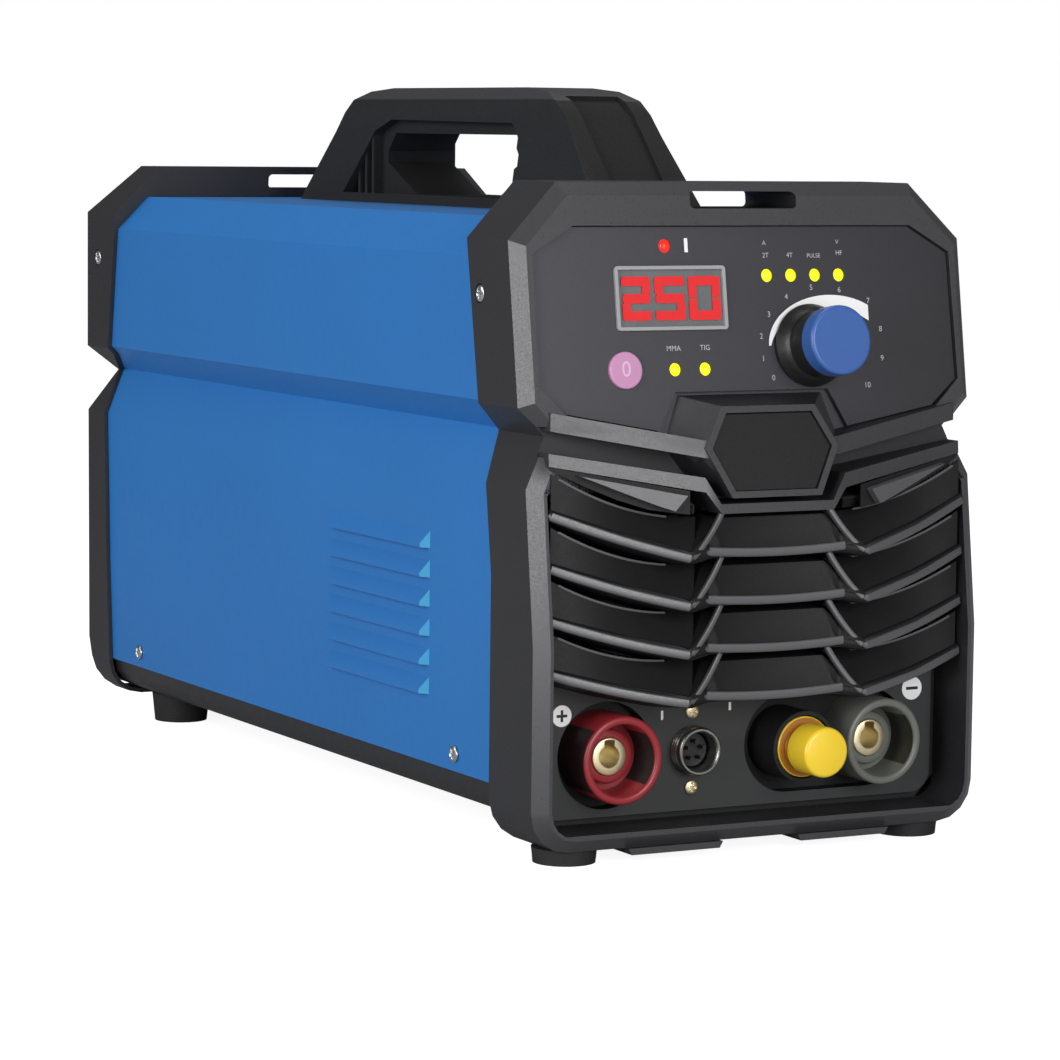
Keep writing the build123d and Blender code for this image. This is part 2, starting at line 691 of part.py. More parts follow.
cup_walls = cups(cup_wall, deck_face, cup_back)
cup_hollows = cups(0.0, deck_face, deck_floor)
with BuildPart() as front_grille:
    with BuildSketch(upright(front + grille_floor + plate_wall)):
        Polygon(*both_sides(plate_chain), align=None)
        for row in range(-1, slat_rows - 2):
            tip, wing, mid = slat_heights(row)
            gap = [
                (slat_tip - 4.8, tip - 7.2), (slat_tip - 4.8, tip - 15.5),
                (wing_x + 4.0, wing - 14.8), (wing_x + 4.0, wing - 7.6),
            ]
            Polygon(*gap, align=None, mode=Mode.SUBTRACT)
            Polygon(*[(-x, z) for x, z in reversed(gap)], align=None, mode=Mode.SUBTRACT)
    extrude(amount=plate_wall)
    for row in range(slat_rows - 1):
        add(slat(row))
    for side in (-1, 1):
        sections = [
            (side * (slat_tip - 12.8), [(0.0, 145.4), (-0.3, 148.4), (1.0, 149.0), (root, 150.2), (root, 143.0)]),
            (side * wing_x, [(-10.6, 135.0), (-11.0, 138.2), (-9.6, 139.2), (root, 141.4), (root, 132.0)]),
            (side * 33.5, [(-9.6, 134.2), (-10.0, 137.4), (-8.6, 138.4), (root, 140.6), (root, 131.4)]),
        ]
        add(strip(sections if side < 0 else sections[::-1]))
    # Raised deck that carries the sockets, with its cups and the ring round the gas outlet.
    with BuildSketch(upright(front + grille_floor)) as deck:
        Polygon(*both_sides([(deck_half, deck_low), (deck_half, 70.5), (wing_x, 62.0), (29.0, 64.0)]), align=None)
        fillet(deck.vertices().sort_by(Axis.Y)[:2], deck_corner)
    extrude(amount=deck_rise)
    add(cup_walls)
    add(cup_hollows, mode=Mode.SUBTRACT)
    with BuildSketch(upright(front + deck_floor)):
        with Locations((gas_x, socket_z)):
            Circle(outlet_ring)
            Circle(outlet_ring - outlet_ring_wall, mode=Mode.SUBTRACT)
    extrude(amount=deck_floor - outlet_ring_front)
    # Holes for what the deck carries.
    with BuildSketch(upright(front + 30.0)):
        with Locations((-socket_x, socket_z), (socket_x, socket_z)):
            Circle(shell_radius + fit_gap)
        with Locations((gas_x, socket_z)):
            Circle(gas_body + fit_gap)
        with Locations((plug_x, socket_z)):
            Circle(plug_barrel + fit_gap)
        with Locations(*plug_screw_spots):
            Circle(1.5 + slide_gap)
    extrude(amount=40.0, mode=Mode.SUBTRACT)
save(front_grille, "front_grille")

# ---------------------------------------------------------------- output sockets
def turned(x, z, profile):
    """Turned piece about a line along Y through (x, z), from (radius, y from the front rim)."""
    with BuildPart() as piece:
        with BuildSketch(Plane(origin=(x, front, z), x_dir=(1, 0, 0), z_dir=(0, 0, 1))):
            Polygon(*profile, align=None)
        revolve(axis=Axis((x, 0, z), (0, 1, 0)))
    return piece


def nuts(spots, size, bore, y_low, y_high):
    """Hexagon nuts with their axes along Y, between two distances from the front rim."""
    with BuildPart() as piece:
        with BuildSketch(upright(front + y_high)):
            with Locations(*spots):
                RegularPolygon(size, 6)
                Circle(bore, mode=Mode.SUBTRACT)
        extrude(amount=y_high - y_low)
    return piece


socket_spots = {"positive": (-socket_x, socket_z), "negative": (socket_x, socket_z)}
collar_radius = 17.2
collar_wall = 3.9
collar_front = 3.4          # front of a socket's collar, from the rim
shell_tail = 40.0           # rear of the plastic shell
insert_radius = 7.5
insert_front = 14.6
stud_radius = 5.0
stud_tail = 62.0
bar_thickness = 3.0
bar_half = 10.0
bar_y = 44.0                # front of the busbars, from the rim
board_z = 80.0              # underside of the main board
board_top = board_z + board_thickness
board_half = 100.0          # half length of the main board

for name, (x, z) in socket_spots.items():
    save(turned(x, z, [
        (collar_radius - collar_wall, collar_front), (collar_radius, collar_front), (collar_radius, deck_floor),
        (shell_radius, deck_floor), (shell_radius, shell_tail), (insert_radius + slide_gap, shell_tail),
        (insert_radius + slide_gap, insert_front + 0.8), (11.4, insert_front + 0.8),
    ]), f"{name}_socket")
    save(turned(x, z, [
        (weld_bore / 2, insert_front), (insert_radius, insert_front), (insert_radius, shell_tail),
        (9.5, shell_tail), (9.5, bar_y), (stud_radius, bar_y), (stud_radius, stud_tail),
        (0.0, stud_tail), (0.0, shell_tail + 2.0), (weld_bore / 2, shell_tail + 2.0),
    ]), f"{name}_insert")
    with BuildPart() as busbar:
        with BuildSketch(upright(front + bar_y + bar_thickness)):
            with Locations((x, (z - bar_half + board_top + bar_thickness) / 2)):
                Rectangle(2 * bar_half, board_top + bar_thickness - z + bar_half)
            with Locations((x, z)):
                Circle(stud_radius + slide_gap, mode=Mode.SUBTRACT)
        extrude(amount=bar_thickness)
        with BuildSketch(Plane.XY.offset(board_top)):
            with Locations((x, (front + bar_y - board_half + 20.0) / 2)):
                Rectangle(2 * bar_half, 20.0 - board_half - front - bar_y)
        extrude(amount=bar_thickness)
    save(busbar, f"{name}_busbar")

save(nuts(list(socket_spots.values()), 17.5, shell_radius + slide_gap, cup_back, cup_back + 6.0), "socket_nuts")
save(nuts(list(socket_spots.values()), 8.5, stud_radius + slide_gap,
          bar_y + bar_thickness, bar_y + bar_thickness + 5.0), "terminal_nuts")

# ---------------------------------------------------------------- torch control socket
ring_radius = 9.6
ring_front = 10.5           # front of the ring, from the rim
barrel_bore = 6.6
barrel_tail = deck_back + 8.0
contact_face = ring_front + 7.0
with BuildPart() as torch_socket:
    add(turned(plug_x, socket_z, [
        (barrel_bore, ring_front), (ring_radius - 0.8, ring_front), (ring_radius, ring_front + 0.8),
        (ring_radius, deck_face), (plug_barrel, deck_face), (plug_barrel, barrel_tail), (barrel_bore, barrel_tail),
    ]).part)
    with BuildSketch(upright(front + deck_back + 2.0)):
        with Locations((plug_x, socket_z)):
            Rectangle(17.0, 35.0)
            Circle(plug_barrel - 0.4, mode=Mode.SUBTRACT)
        with Locations(*plug_screw_spots):
            Circle(1.6, mode=Mode.SUBTRACT)
    extrude(amount=2.0)
save(torch_socket, "torch_socket")

with BuildPart() as torch_contacts:
    with BuildSketch(upright(front + barrel_tail)):
        with Locations((plug_x, socket_z)):
            Circle(barrel_bore)
    extrude(amount=barrel_tail - contact_face)
    with BuildSketch(upright(front + contact_face)):
        with Locations((plug_x, socket_z)):
            with PolarLocations(3.6, 5, start_angle=90):
                Circle(0.8)
    extrude(amount=4.0)
save(torch_contacts, "torch_contacts")

with BuildPart() as torch_screws:
    with BuildSketch(upright(front + deck_face)):
        with Locations(*plug_screw_spots):
            Circle(2.9)
    extrude(amount=1.6)
    with BuildSketch(upright(front + deck_back + 3.0)):
        with Locations(*plug_screw_spots):
            Circle(1.5)
    extrude(amount=deck_back + 3.0 - deck_face)
save(torch_screws, "torch_screws")

# ---------------------------------------------------------------- gas outlet and its dust cap
nipple_radius = 6.0
nipple_front = -7.0
hose_radius = 5.0
hose_start = 40.0
outlet = turned(gas_x, socket_z, [
    (2.5, nipple_front), (nipple_radius, nipple_front), (nipple_radius, deck_floor - 6.0), (9.0, deck_floor - 6.0),
    (9.0, deck_floor), (gas_body, deck_floor), (gas_body, cup_back + 4.0), (3.6, cup_back + 4.0),
    (3.6, hose_start), (2.5, hose_start),
])
save(outlet, "gas_outlet")

cap_radius = 10.0
cap_front = -11.6
with BuildPart() as gas_outlet_cap:
    add(turned(gas_x, socket_z, [
        (nipple_radius + slide_gap, 8.0), (12.0, 8.0), (12.0, 5.0), (cap_radius, 3.6), (cap_radius, cap_front + 0.8),
        (cap_radius - 0.8, cap_front), (0.0, cap_front), (0.0, cap_front + 3.4),
        (nipple_radius + slide_gap, cap_front + 3.4),
    ]).part)
save(gas_outlet_cap, "gas_outlet_cap")

# ---------------------------------------------------------------- steel cover with its louvres
cover_front = front + 28.0
cover_rear = rear - niche_depth - niche_wall - 0.5
louvre_rows = 6
louvre_pitch = 11.7
louvre_low = 58.5
louvre_front, louvre_rear = front + 93.0, front + 188.0
louvre_depth = 2.8
louvre_heights = [louvre_low + louvre_pitch * row for row in range(louvre_rows)]
cover_side = lower_half - cover_skin
cover_screw_z = 35.0
cover_screw_ys = (front + 70.0, front + 395.0)
handle_screw_spots = [(x, handle_middle + y) for x in (-14.0, 14.0) for y in (-92.0, 92.0)]


def louvre(side, z, grow, x_low, x_high):
    """Block of a louvre at one side: a sloped hood whose mouth faces down, as a ruled loft."""
    middle = (louvre_front + louvre_rear) / 2
    half = (louvre_rear - louvre_front) / 2
    with BuildPart() as hood:
        for x, shorter, low, high in ((x_low, 0.0, -3.0 - grow / 2, 4.6), (x_high, 4.0, -3.0 - grow / 2, -1.2)):
            with BuildSketch(sideways(side * x)):
                with Locations((middle, z + (low + high) / 2)):
                    Rectangle(2 * (half - shorter + grow), high - low)
        loft(ruled=True)
    return hood.part


with BuildPart() as steel_cover:
    with BuildSketch(upright(cover_rear)):
        Polygon(*cover_outline(), align=None)
        Polygon(*cover_outline(sheet), align=None, mode=Mode.SUBTRACT)
    extrude(amount=cover_rear - cover_front)
    for side in (-1, 1):
        for z in louvre_heights:
            add(louvre(side, z, 0.0, cover_side - 0.4, cover_side + louvre_depth))
        for z in louvre_heights:
            add(louvre(side, z, -1.0, cover_side - sheet - 0.5, cover_side + louvre_depth - 1.0), mode=Mode.SUBTRACT)
    with BuildSketch(sideways(-lower_half - 5.0)):
        with Locations((front_screw_y, bezel_screw_z), (rear_screw_y, bezel_screw_z)):
            Circle(screw_shank + fit_gap)
        with Locations(*[(y, cover_screw_z) for y in cover_screw_ys]):
            Circle(screw_shank + fit_gap)
    extrude(amount=2 * lower_half + 10.0, mode=Mode.SUBTRACT)
    with BuildSketch(Plane.XY.offset(cover_top - 5.0)):
        with Locations(*handle_screw_spots):
            Circle(screw_shank + fit_gap)
    extrude(amount=10.0, mode=Mode.SUBTRACT)
save(steel_cover, "steel_cover")

# ---------------------------------------------------------------- base pan and feet
pan_top = 46.0
pan_front = front + cup_back + fit_gap
pan_rear = rear - guard_depth - rear_wall - fit_gap
pan_chain = corner(lower_half, rear_foot) + [(lower_half, pan_top)]
pan_gap = cover_skin + sheet + fit_gap
foot_radius = 13.0
front_foot_spot = (lower_half - 22.0, front + 16.0)
rear_foot_spot = (lower_half - 29.0, rear - 50.0)

with BuildPart() as base_pan:
    with BuildSketch(upright(pan_rear)):
        Polygon(*both_sides(inset(pan_chain, pan_gap, pan_low, pan_top)), align=None)
        Polygon(*both_sides(inset(pan_chain, pan_gap + sheet, base_z, pan_top)), align=None, mode=Mode.SUBTRACT)
    extrude(amount=pan_rear - pan_front)
    with BuildSketch(sideways(-lower_half - 5.0)):
        with Locations(*[(y, cover_screw_z) for y in cover_screw_ys]):
            Circle(screw_shank + fit_gap)
    extrude(amount=2 * lower_half + 10.0, mode=Mode.SUBTRACT)
    with BuildSketch(Plane.XY):
        with GridLocations(26.0, 60.0, 4, 2):
            SlotOverall(34.0, 5.0, rotation=90)
    extrude(amount=base_z + 1.0, mode=Mode.SUBTRACT)
save(base_pan, "base_pan")


def foot(x, y, top):
    """Rubber foot: a tapered disc that stands on the floor, up to the height of its seat."""
    with BuildPart() as piece:
        with BuildSketch():
            with Locations((x, y)):
                Circle(foot_radius - 0.8)
        extrude(amount=top, taper=-6.0)
    return piece.part


with BuildPart() as rubber_feet:
    for side in (-1, 1):
        add(foot(side * front_foot_spot[0], front_foot_spot[1], front_foot))
        add(foot(side * rear_foot_spot[0], rear_foot_spot[1], pan_low))
save(rubber_feet, "rubber_feet")

# ---------------------------------------------------------------- screws
def side_screws(ys, z, seat):
    """Pan-head screws through both sides, with their heads on the face at x = seat."""
    with BuildPart() as piece:
        for side in (-1, 1):
            axis = Plane(origin=(side * seat, 0, 0), x_dir=(0, 1, 0), z_dir=(side, 0, 0))
            with BuildSketch(axis):
                with Locations(*[(y, side * z) for y in ys]):
                    Circle(screw_head)
            extrude(amount=1.6, taper=18.0)
            with BuildSketch(axis):
                with Locations(*[(y, side * z) for y in ys]):
                    Circle(screw_shank)
            extrude(amount=-6.5)
    return piece


screw_seat = upper_half - 1.0       # bezel screws sit 1 mm below the face
save(side_screws((front_screw_y, rear_screw_y), bezel_screw_z, screw_seat), "bezel_screws")
save(side_screws(cover_screw_ys, cover_screw_z, cover_side), "cover_screws")

# ---------------------------------------------------------------- handle
handle_plate = 4.0          # plate between the legs, on the cover
handle_profile = [
    (handle_half_length, cover_top),
    (105.0, 286.0),
    (97.0, 291.5),
    (84.0, 295.5),
    (63.0, handle_top),
]
grip_opening = [
    (grip_half - 30.0, cover_top + handle_plate),
    (grip_half, cover_top + handle_plate + 14.0),
    (grip_half, grip_low - 8.0),
    (grip_half - 8.0, grip_low),
]
recess_opening = [(98.0, cover_top + handle_plate), (72.0, 278.0), (56.0, 283.0), (-60.0, 282.0), (-66.0, 276.0),
                  (-66.0, cover_top + handle_plate)]
recess_depth = 9.0


def along_handle(points):
    return [(handle_middle + y, z) for y, z in points]


def mirror_run(points):
    """Close a profile given for the rear half by mirroring it about the handle's middle."""
    return points + [(-y, z) for y, z in reversed(points)]


with BuildPart() as handle:
    with BuildSketch(sideways(0)):
        Polygon(*along_handle(mirror_run(handle_profile)), align=None)
    extrude(amount=handle_foot_half, both=True)
    with BuildSketch(upright(rear)):
        Polygon(*both_sides([
            (handle_foot_half, cover_top),
            (handle_top_half + 1.0, grip_low),
            (handle_top_half, handle_top - 5.0),
            (handle_top_half - 4.0, handle_top),
        ]), align=None)
    extrude(amount=depth, mode=Mode.INTERSECT)
    with BuildSketch(sideways(0)):
        Polygon(*along_handle(mirror_run(grip_opening)), align=None)
    extrude(amount=handle_foot_half + 1.0, both=True, mode=Mode.SUBTRACT)
    # Hollow sides round the rear leg, with stiffening ribs.
    for side in (-1, 1):
        with BuildSketch(sideways(side * (handle_foot_half + 1.0))):
            Polygon(*along_handle(recess_opening), align=None)
        extrude(amount=-side * (recess_depth + 1.0), mode=Mode.SUBTRACT)
        for y in (74.0, 81.0, 88.0):
            with BuildSketch(sideways(side * (handle_foot_half - recess_depth - 0.5))):
                Polygon(*along_handle([
                    (y, cover_top + handle_plate - 1.0), (y + 2.0, cover_top + handle_plate - 1.0),
                    (y + 2.0, 358.0 - (y + 4.0)), (y, 358.0 - (y + 2.0)),
                ]), align=None)
            extrude(amount=side * (recess_depth - 4.0))
    # Sunk band down the middle of each leg's outer face.
    for end in (-1, 1):
        with BuildSketch(sideways(0)):
            Polygon(*along_handle([
                (end * (handle_half_length - 6.0), cover_top + 3.0),
                (end * (handle_half_length + 4.0), cover_top + 3.0),
                (end * 112.0, 290.0),
                (end * 92.0, 296.0),
                (end * 90.0, 292.0),
                (end * 103.0, 285.0),
            ]), align=None)
        extrude(amount=12.5, both=True, mode=Mode.SUBTRACT)
    with BuildSketch(Plane.XY.offset(cover_top)):
        with Locations(*handle_screw_spots):
            Circle(screw_shank)
    extrude(amount=14.0, mode=Mode.SUBTRACT)
save(handle, "handle")

with BuildPart() as handle_screws:
    with BuildSketch(Plane.XY.offset(cover_top - sheet)):
        with Locations(*handle_screw_spots):
            Circle(screw_head)
    extrude(amount=-1.8)
    with BuildSketch(Plane.XY.offset(cover_top - sheet)):
        with Locations(*handle_screw_spots):
            Circle(screw_shank - 0.05)
    extrude(amount=sheet + 13.0)
save(handle_screws, "handle_screws")

# ---------------------------------------------------------------- rear bezel with the fan guard
waist_dip = 13.0            # depth of the waist groove across the rear
upper_dip = 3.0
foot_dip = 11.0
crown_dip = 16.0
rear_knee = 36.0
rear_edge = [
    (rear + 20.0, 0.0), (rear - 33.0, 0.0), (rear - 31.8, 27.0), (rear - 28.0, 74.0), (rear - 25.0, lower_z),
    (rear - 19.5, waist_z), (rear - 33.0, 172.0), (rear - 41.5, 232.0), (rear - 44.0, bezel_top),
    (rear + 20.0, bezel_top),
]
rear_band = bevelled_band(
    [
        (rear - foot_dip, rear_foot, rear - 1.0, rear_knee,
         corner(lower_half, rear_foot) + [(lower_half, rear_knee)], rear_foot + rim_bevel, rear_knee),
        (rear - 1.0, rear_knee, rear, lower_z, [(lower_half, rear_knee), (lower_half, lower_z)], rear_knee, lower_z),
        (rear, lower_z, rear - waist_dip, waist_z, [(lower_half, lower_z), (waist_half, waist_z)], lower_z, waist_z),
        (rear - waist_dip, waist_z, rear - upper_dip, upper_z, [(waist_half, waist_z), (upper_half, upper_z)],
         waist_z, upper_z),
        (rear - upper_dip, upper_z, rear - upper_dip, shoulder_z, [(upper_half, upper_z), (upper_half, shoulder_z)],
         upper_z, shoulder_z),
        (rear - upper_dip, shoulder_z, rear - crown_dip, bezel_top, [(upper_half, shoulder_z), (top_half, bezel_top)],
         shoulder_z, bezel_top - rim_bevel),
    ],
    rim_bevel,
    -70.0,
)
guard_y = rear - guard_depth                    # outer face of the fan guard
guard_back = guard_y - rear_wall                # fan frame rests here
niche_y = rear - niche_depth
niche_back = niche_y - niche_wall
with BuildPart() as rear_cavity:
    with BuildSketch(upright(guard_back)):
        Polygon(*cavity_outline(rear_foot), align=None)
    extrude(amount=80.0)
    with BuildSketch(sideways(0)):
        Polygon(
            (rear - 80.0, 0.0), (guard_back, 0.0), (guard_back, 141.0), (niche_back, 150.0), (niche_back, bezel_top),
            (rear - 80.0, bezel_top),
            align=None,
        )
    extrude(amount=lower_half + 2.0, both=True, mode=Mode.INTERSECT)

guard_rings = [10.0, 19.5, 29.0, 38.5, 48.0]
guard_slot = 6.0
fan_hole_pitch = fan_size - 15.0
fan_spots = [(x, fan_z + z) for x in (-fan_hole_pitch / 2, fan_hole_pitch / 2)
             for z in (-fan_hole_pitch / 2, fan_hole_pitch / 2)]
switch_wide, switch_high = 30.0, 24.0
inlet_body = 5.5
gland_body = 10.0

with BuildPart() as rear_bezel:
    add(rear_band)
    with BuildSketch(sideways(0)):
        Polygon(*rear_edge, align=None)
    extrude(amount=2 * lower_half, both=True, mode=Mode.INTERSECT)
    add(rear_cavity.part, mode=Mode.SUBTRACT)
    # Sunk field of the fan guard, with ring slots and spokes.
    with BuildSketch(upright(guard_y)):
        Polygon(*both_sides([
            (lower_half - 26.0, 20.0), (lower_half - 14.0, 32.0), (lower_half - 14.0, 126.0), (lower_half - 24.0, 140.0),
        ]), align=None)
    extrude(amount=-guard_depth - 5.0, mode=Mode.SUBTRACT)
    with BuildSketch(upright(rear)):
        with Locations((0, fan_z)):
            for ring in reversed(guard_rings):
                Circle(ring + guard_slot)
                Circle(ring, mode=Mode.SUBTRACT)
            with PolarLocations(fan_bore / 2, 6):
                Rectangle(fan_bore + 10.0, 4.0, mode=Mode.SUBTRACT)
        with Locations(*fan_spots):
            Circle(2.3)
    extrude(amount=40.0, mode=Mode.SUBTRACT)
    # Niche with the fittings.
    with BuildSketch(upright(niche_y)):
        Polygon(*both_sides([
            (upper_half - 15.6, 184.0), (upper_half - 10.6, 189.0), (upper_half - 10.6, 228.0), (upper_half - 17.6, 236.0),
        ]), align=None)
    extrude(amount=-niche_depth - 5.0, mode=Mode.SUBTRACT)
    with BuildSketch(upright(niche_y)):
        with Locations((rocker_x, fitting_z)):
            Rectangle(switch_wide + 2 * fit_gap, switch_high + 2 * fit_gap)
        with Locations((gas_x, fitting_z)):
            Circle(inlet_body + fit_gap)
        with Locations((gland_x, fitting_z)):
            Circle(gland_body + fit_gap)
    extrude(amount=20.0, mode=Mode.SUBTRACT)
    # Slot for a carrying strap.
    with BuildSketch(upright(rear)):
        with Locations((0, (slot_low + slot_high) / 2)):
            RectangleRounded(2 * slot_half, slot_high - slot_low, 2.0)
    extrude(amount=70.0, mode=Mode.SUBTRACT)
    # Seats of the side screws.
    for side in (-1, 1):
        with BuildSketch(Plane(origin=(side * (upper_half + 1.0), 0, 0), x_dir=(0, 1, 0), z_dir=(-side, 0, 0))):
            with Locations((rear_screw_y, -side * bezel_screw_z)):
                Circle(screw_head + 0.4)
        extrude(amount=2.0, mode=Mode.SUBTRACT)
    with BuildSketch(sideways(-upper_half - 5.0)):
        with Locations((rear_screw_y, bezel_screw_z)):
            Circle(screw_shank + fit_gap)
    extrude(amount=2 * upper_half + 10.0, mode=Mode.SUBTRACT)
save(rear_bezel, "rear_bezel")

# ---------------------------------------------------------------- fan
fan_front = guard_back - fan_depth
hub_radius = 19.0
shaft_bore = 2.0
blades = 7
blade_tip = fan_bore - 1.5
with BuildPart() as fan_frame:
    with BuildSketch(upright(guard_back)):
        with Locations((0, fan_z)):
            RectangleRounded(fan_size, fan_size, 6.0)
            Circle(fan_bore, mode=Mode.SUBTRACT)
        with Locations(*fan_spots):
            Circle(2.3, mode=Mode.SUBTRACT)
    extrude(amount=fan_depth)
    with BuildSketch(upright(guard_back)):
        with Locations((0, fan_z)):
            Circle(hub_radius)
            with PolarLocations((fan_bore + hub_radius) / 2, 4, start_angle=30):
                Rectangle(fan_bore - hub_radius + 4.0, 5.0)
    extrude(amount=3.0)
    with BuildSketch(upright(guard_back - 3.0)):
        with Locations((0, fan_z)):
            Circle(6.0)
    extrude(amount=13.0)
    with BuildSketch(upright(guard_back - 1.0)):
        with Locations((0, fan_z)):
            Circle(shaft_bore + running_gap)
    extrude(amount=16.0, mode=Mode.SUBTRACT)
save(fan_frame, "fan_frame")

with BuildPart() as fan_rotor:
    with BuildSketch(upright(guard_back - 4.0)):
        with Locations((0, fan_z)):
            Circle(hub_radius)
            Circle(hub_radius - 2.0, mode=Mode.SUBTRACT)
    extrude(amount=16.0)
    with BuildSketch(upright(guard_back - 17.0)):
        with Locations((0, fan_z)):
            Circle(hub_radius)
    extrude(amount=3.0)
    with BuildSketch(upright(guard_back - 2.0)):
        with Locations((0, fan_z)):
            Circle(shaft_bore)
    extrude(amount=16.0)
    for blade in range(blades):
        turn = 360.0 * blade / blades
        for radius, chord, pitch in ((hub_radius - 1.0, 17.0, 48.0), (blade_tip, 24.0, 28.0)):
            out = Vector(cos(radians(turn)), 0, sin(radians(turn)))
            tangent = Vector(-sin(radians(turn)), 0, cos(radians(turn)))
            across = tangent * cos(radians(pitch)) + Vector(0, -sin(radians(pitch)), 0)
            middle = Vector(0, guard_back - 12.0, fan_z) + out * radius
            with BuildSketch(Plane(origin=middle, x_dir=across, z_dir=out)):
                Rectangle(chord, 1.6)
        loft(ruled=True)
save(fan_rotor, "fan_rotor")

with BuildPart() as fan_screws:
    with BuildSketch(upright(guard_y)):
        with Locations(*fan_spots):
            Circle(4.0)
    extrude(amount=-2.0, taper=15.0)
    with BuildSketch(upright(guard_y)):
        with Locations(*fan_spots):
            Circle(2.1)
    extrude(amount=rear_wall + fan_depth + 4.0)
save(fan_screws, "fan_screws")

# ---------------------------------------------------------------- power switch
flange_face = niche_y + 2.0
pivot_y = flange_face - 3.0
pivot_radius = 1.6
rocker_half = 12.0
rocker_tilt = 10.0
with BuildPart() as power_switch:
    with BuildSketch(upright(flange_face)):
        with Locations((rocker_x, fitting_z)):
            RectangleRounded(switch_wide + 5.0, switch_high + 5.0, 2.0)
    extrude(amount=2.0)
    with BuildSketch(upright(niche_y)):
        with Locations((rocker_x, fitting_z)):
            Rectangle(switch_wide, switch_high)
    extrude(amount=26.0)
    with BuildSketch(upright(flange_face)):
        with Locations((rocker_x, fitting_z)):
            Rectangle(2 * rocker_half + 1.0, 18.8)
    extrude(amount=12.0, mode=Mode.SUBTRACT)
    with BuildSketch(sideways(rocker_x)):
        with Locations((pivot_y, fitting_z)):
            Circle(pivot_radius + running_gap)
    extrude(amount=rocker_half + 2.2, both=True, mode=Mode.SUBTRACT)
    with BuildSketch(upright(niche_y - 26.0)):
        with Locations((rocker_x, fitting_z)):
            with GridLocations(14.0, 12.0, 2, 2):
                Rectangle(6.0, 1.0)
    extrude(amount=8.0)
save(power_switch, "power_switch")

tilt_plane = Plane(
    origin=(rocker_x, pivot_y, fitting_z),
    x_dir=(0, cos(radians(rocker_tilt)), sin(radians(rocker_tilt))),
    z_dir=(1, 0, 0),
)
with BuildPart() as power_rocker:
    with BuildSketch(tilt_plane):
        Polygon((3.4, 0.0), (5.0, 8.0), (2.6, 8.0), (-3.4, 3.0), (-3.4, -3.0), (2.6, -8.0), (5.0, -8.0), align=None)
    extrude(amount=rocker_half, both=True)
    with BuildSketch(tilt_plane):
        Circle(pivot_radius)
    extrude(amount=rocker_half + 2.0, both=True)
save(power_rocker, "power_rocker")

# ---------------------------------------------------------------- cable gland, gas inlet, valve and hose
niche_from_front = niche_y - front
with BuildPart() as cable_gland:
    add(turned(gland_x, fitting_z, [
        (gland_bore / 2, niche_from_front - 14.0), (gland_body, niche_from_front - 14.0),
        (gland_body, niche_from_front), (gland_body, niche_from_front + 14.0),
        (gland_bore / 2, niche_from_front + 14.0),
    ]).part)
    with BuildSketch(upright(niche_y + 5.0)):
        with Locations((gland_x, fitting_z)):
            RegularPolygon(13.0, 6)
            Circle(gland_body - 1.0, mode=Mode.SUBTRACT)
    extrude(amount=5.0)
save(cable_gland, "cable_gland")

with BuildPart() as gland_cap:
    add(turned(gland_x, fitting_z, [
        (gland_body + slide_gap, niche_from_front + 5.4), (12.4, niche_from_front + 5.4),
        (12.4, niche_from_front + 14.0), (8.6, niche_from_front + 21.0), (gland_bore / 2 + 0.6, niche_from_front + 21.0),
        (gland_bore / 2 + 0.6, niche_from_front + 14.6), (gland_body + slide_gap, niche_from_front + 14.6),
    ]).part)
save(gland_cap, "gland_cap")
wall_back = niche_back - front
save(nuts([(gland_x, fitting_z)], 13.0, gland_body + slide_gap, wall_back - 5.0, wall_back), "gland_nut")

inlet_tip = depth + slat_reach
with BuildPart() as gas_inlet:
    add(turned(gas_x, fitting_z, [
        (2.5, wall_back), (inlet_body, wall_back), (inlet_body, niche_from_front + 3.0),
        (inlet_body - 1.0, niche_from_front + 6.0), (inlet_body - 1.0, inlet_tip - 14.0),
        (inlet_body, inlet_tip - 12.0), (inlet_body - 1.0, inlet_tip - 8.0), (inlet_body, inlet_tip - 6.0),
        (inlet_body - 1.6, inlet_tip), (2.5, inlet_tip),
    ]).part)
    with BuildSketch(upright(niche_y + 6.0)):
        with Locations((gas_x, fitting_z)):
            RegularPolygon(9.0, 6)
            Circle(inlet_body - 1.0, mode=Mode.SUBTRACT)
    extrude(amount=6.0)
save(gas_inlet, "gas_inlet")

valve_long = 26.0
with BuildPart() as gas_valve:
    with BuildSketch(upright(niche_back)):
        with Locations((gas_x, fitting_z)):
            Rectangle(24.0, 24.0)
    extrude(amount=valve_long)
    with BuildSketch(Plane.XY.offset(fitting_z + 12.0)):
        with Locations((gas_x, niche_back - valve_long / 2)):
            RectangleRounded(22.0, 22.0, 3.0)
    extrude(amount=20.0)
save(gas_valve, "gas_valve")

hose_riser = niche_back - valve_long - 30.0
with BuildPart() as gas_hose:
    with BuildLine():
        FilletPolyline(
            (gas_x, front + hose_start, socket_z),
            (gas_x, hose_riser, socket_z),
            (gas_x, hose_riser, fitting_z),
            (gas_x, niche_back - valve_long, fitting_z),
            radius=26.0,
        )
    with BuildSketch(upright(front + hose_start)):
        with Locations((gas_x, socket_z)):
            Circle(hose_radius)
    sweep()
save(gas_hose, "gas_hose")

# ---------------------------------------------------------------- power electronics
rail_top = 20.0
sink_top = 74.0
fin_pitch = 7.0
sink_ranges = [(15.0 - lower_half, -15.0), (37.0, lower_half - 16.0)]
with BuildPart() as sink_rails:
    for y in (-80.0, 80.0):
        with BuildSketch(Plane.XY.offset(base_z)):
            with Locations((0, y)):
                Rectangle(2 * lower_half - 42.0, 10.0)
        extrude(amount=rail_top - base_z)
save(sink_rails, "sink_rails")

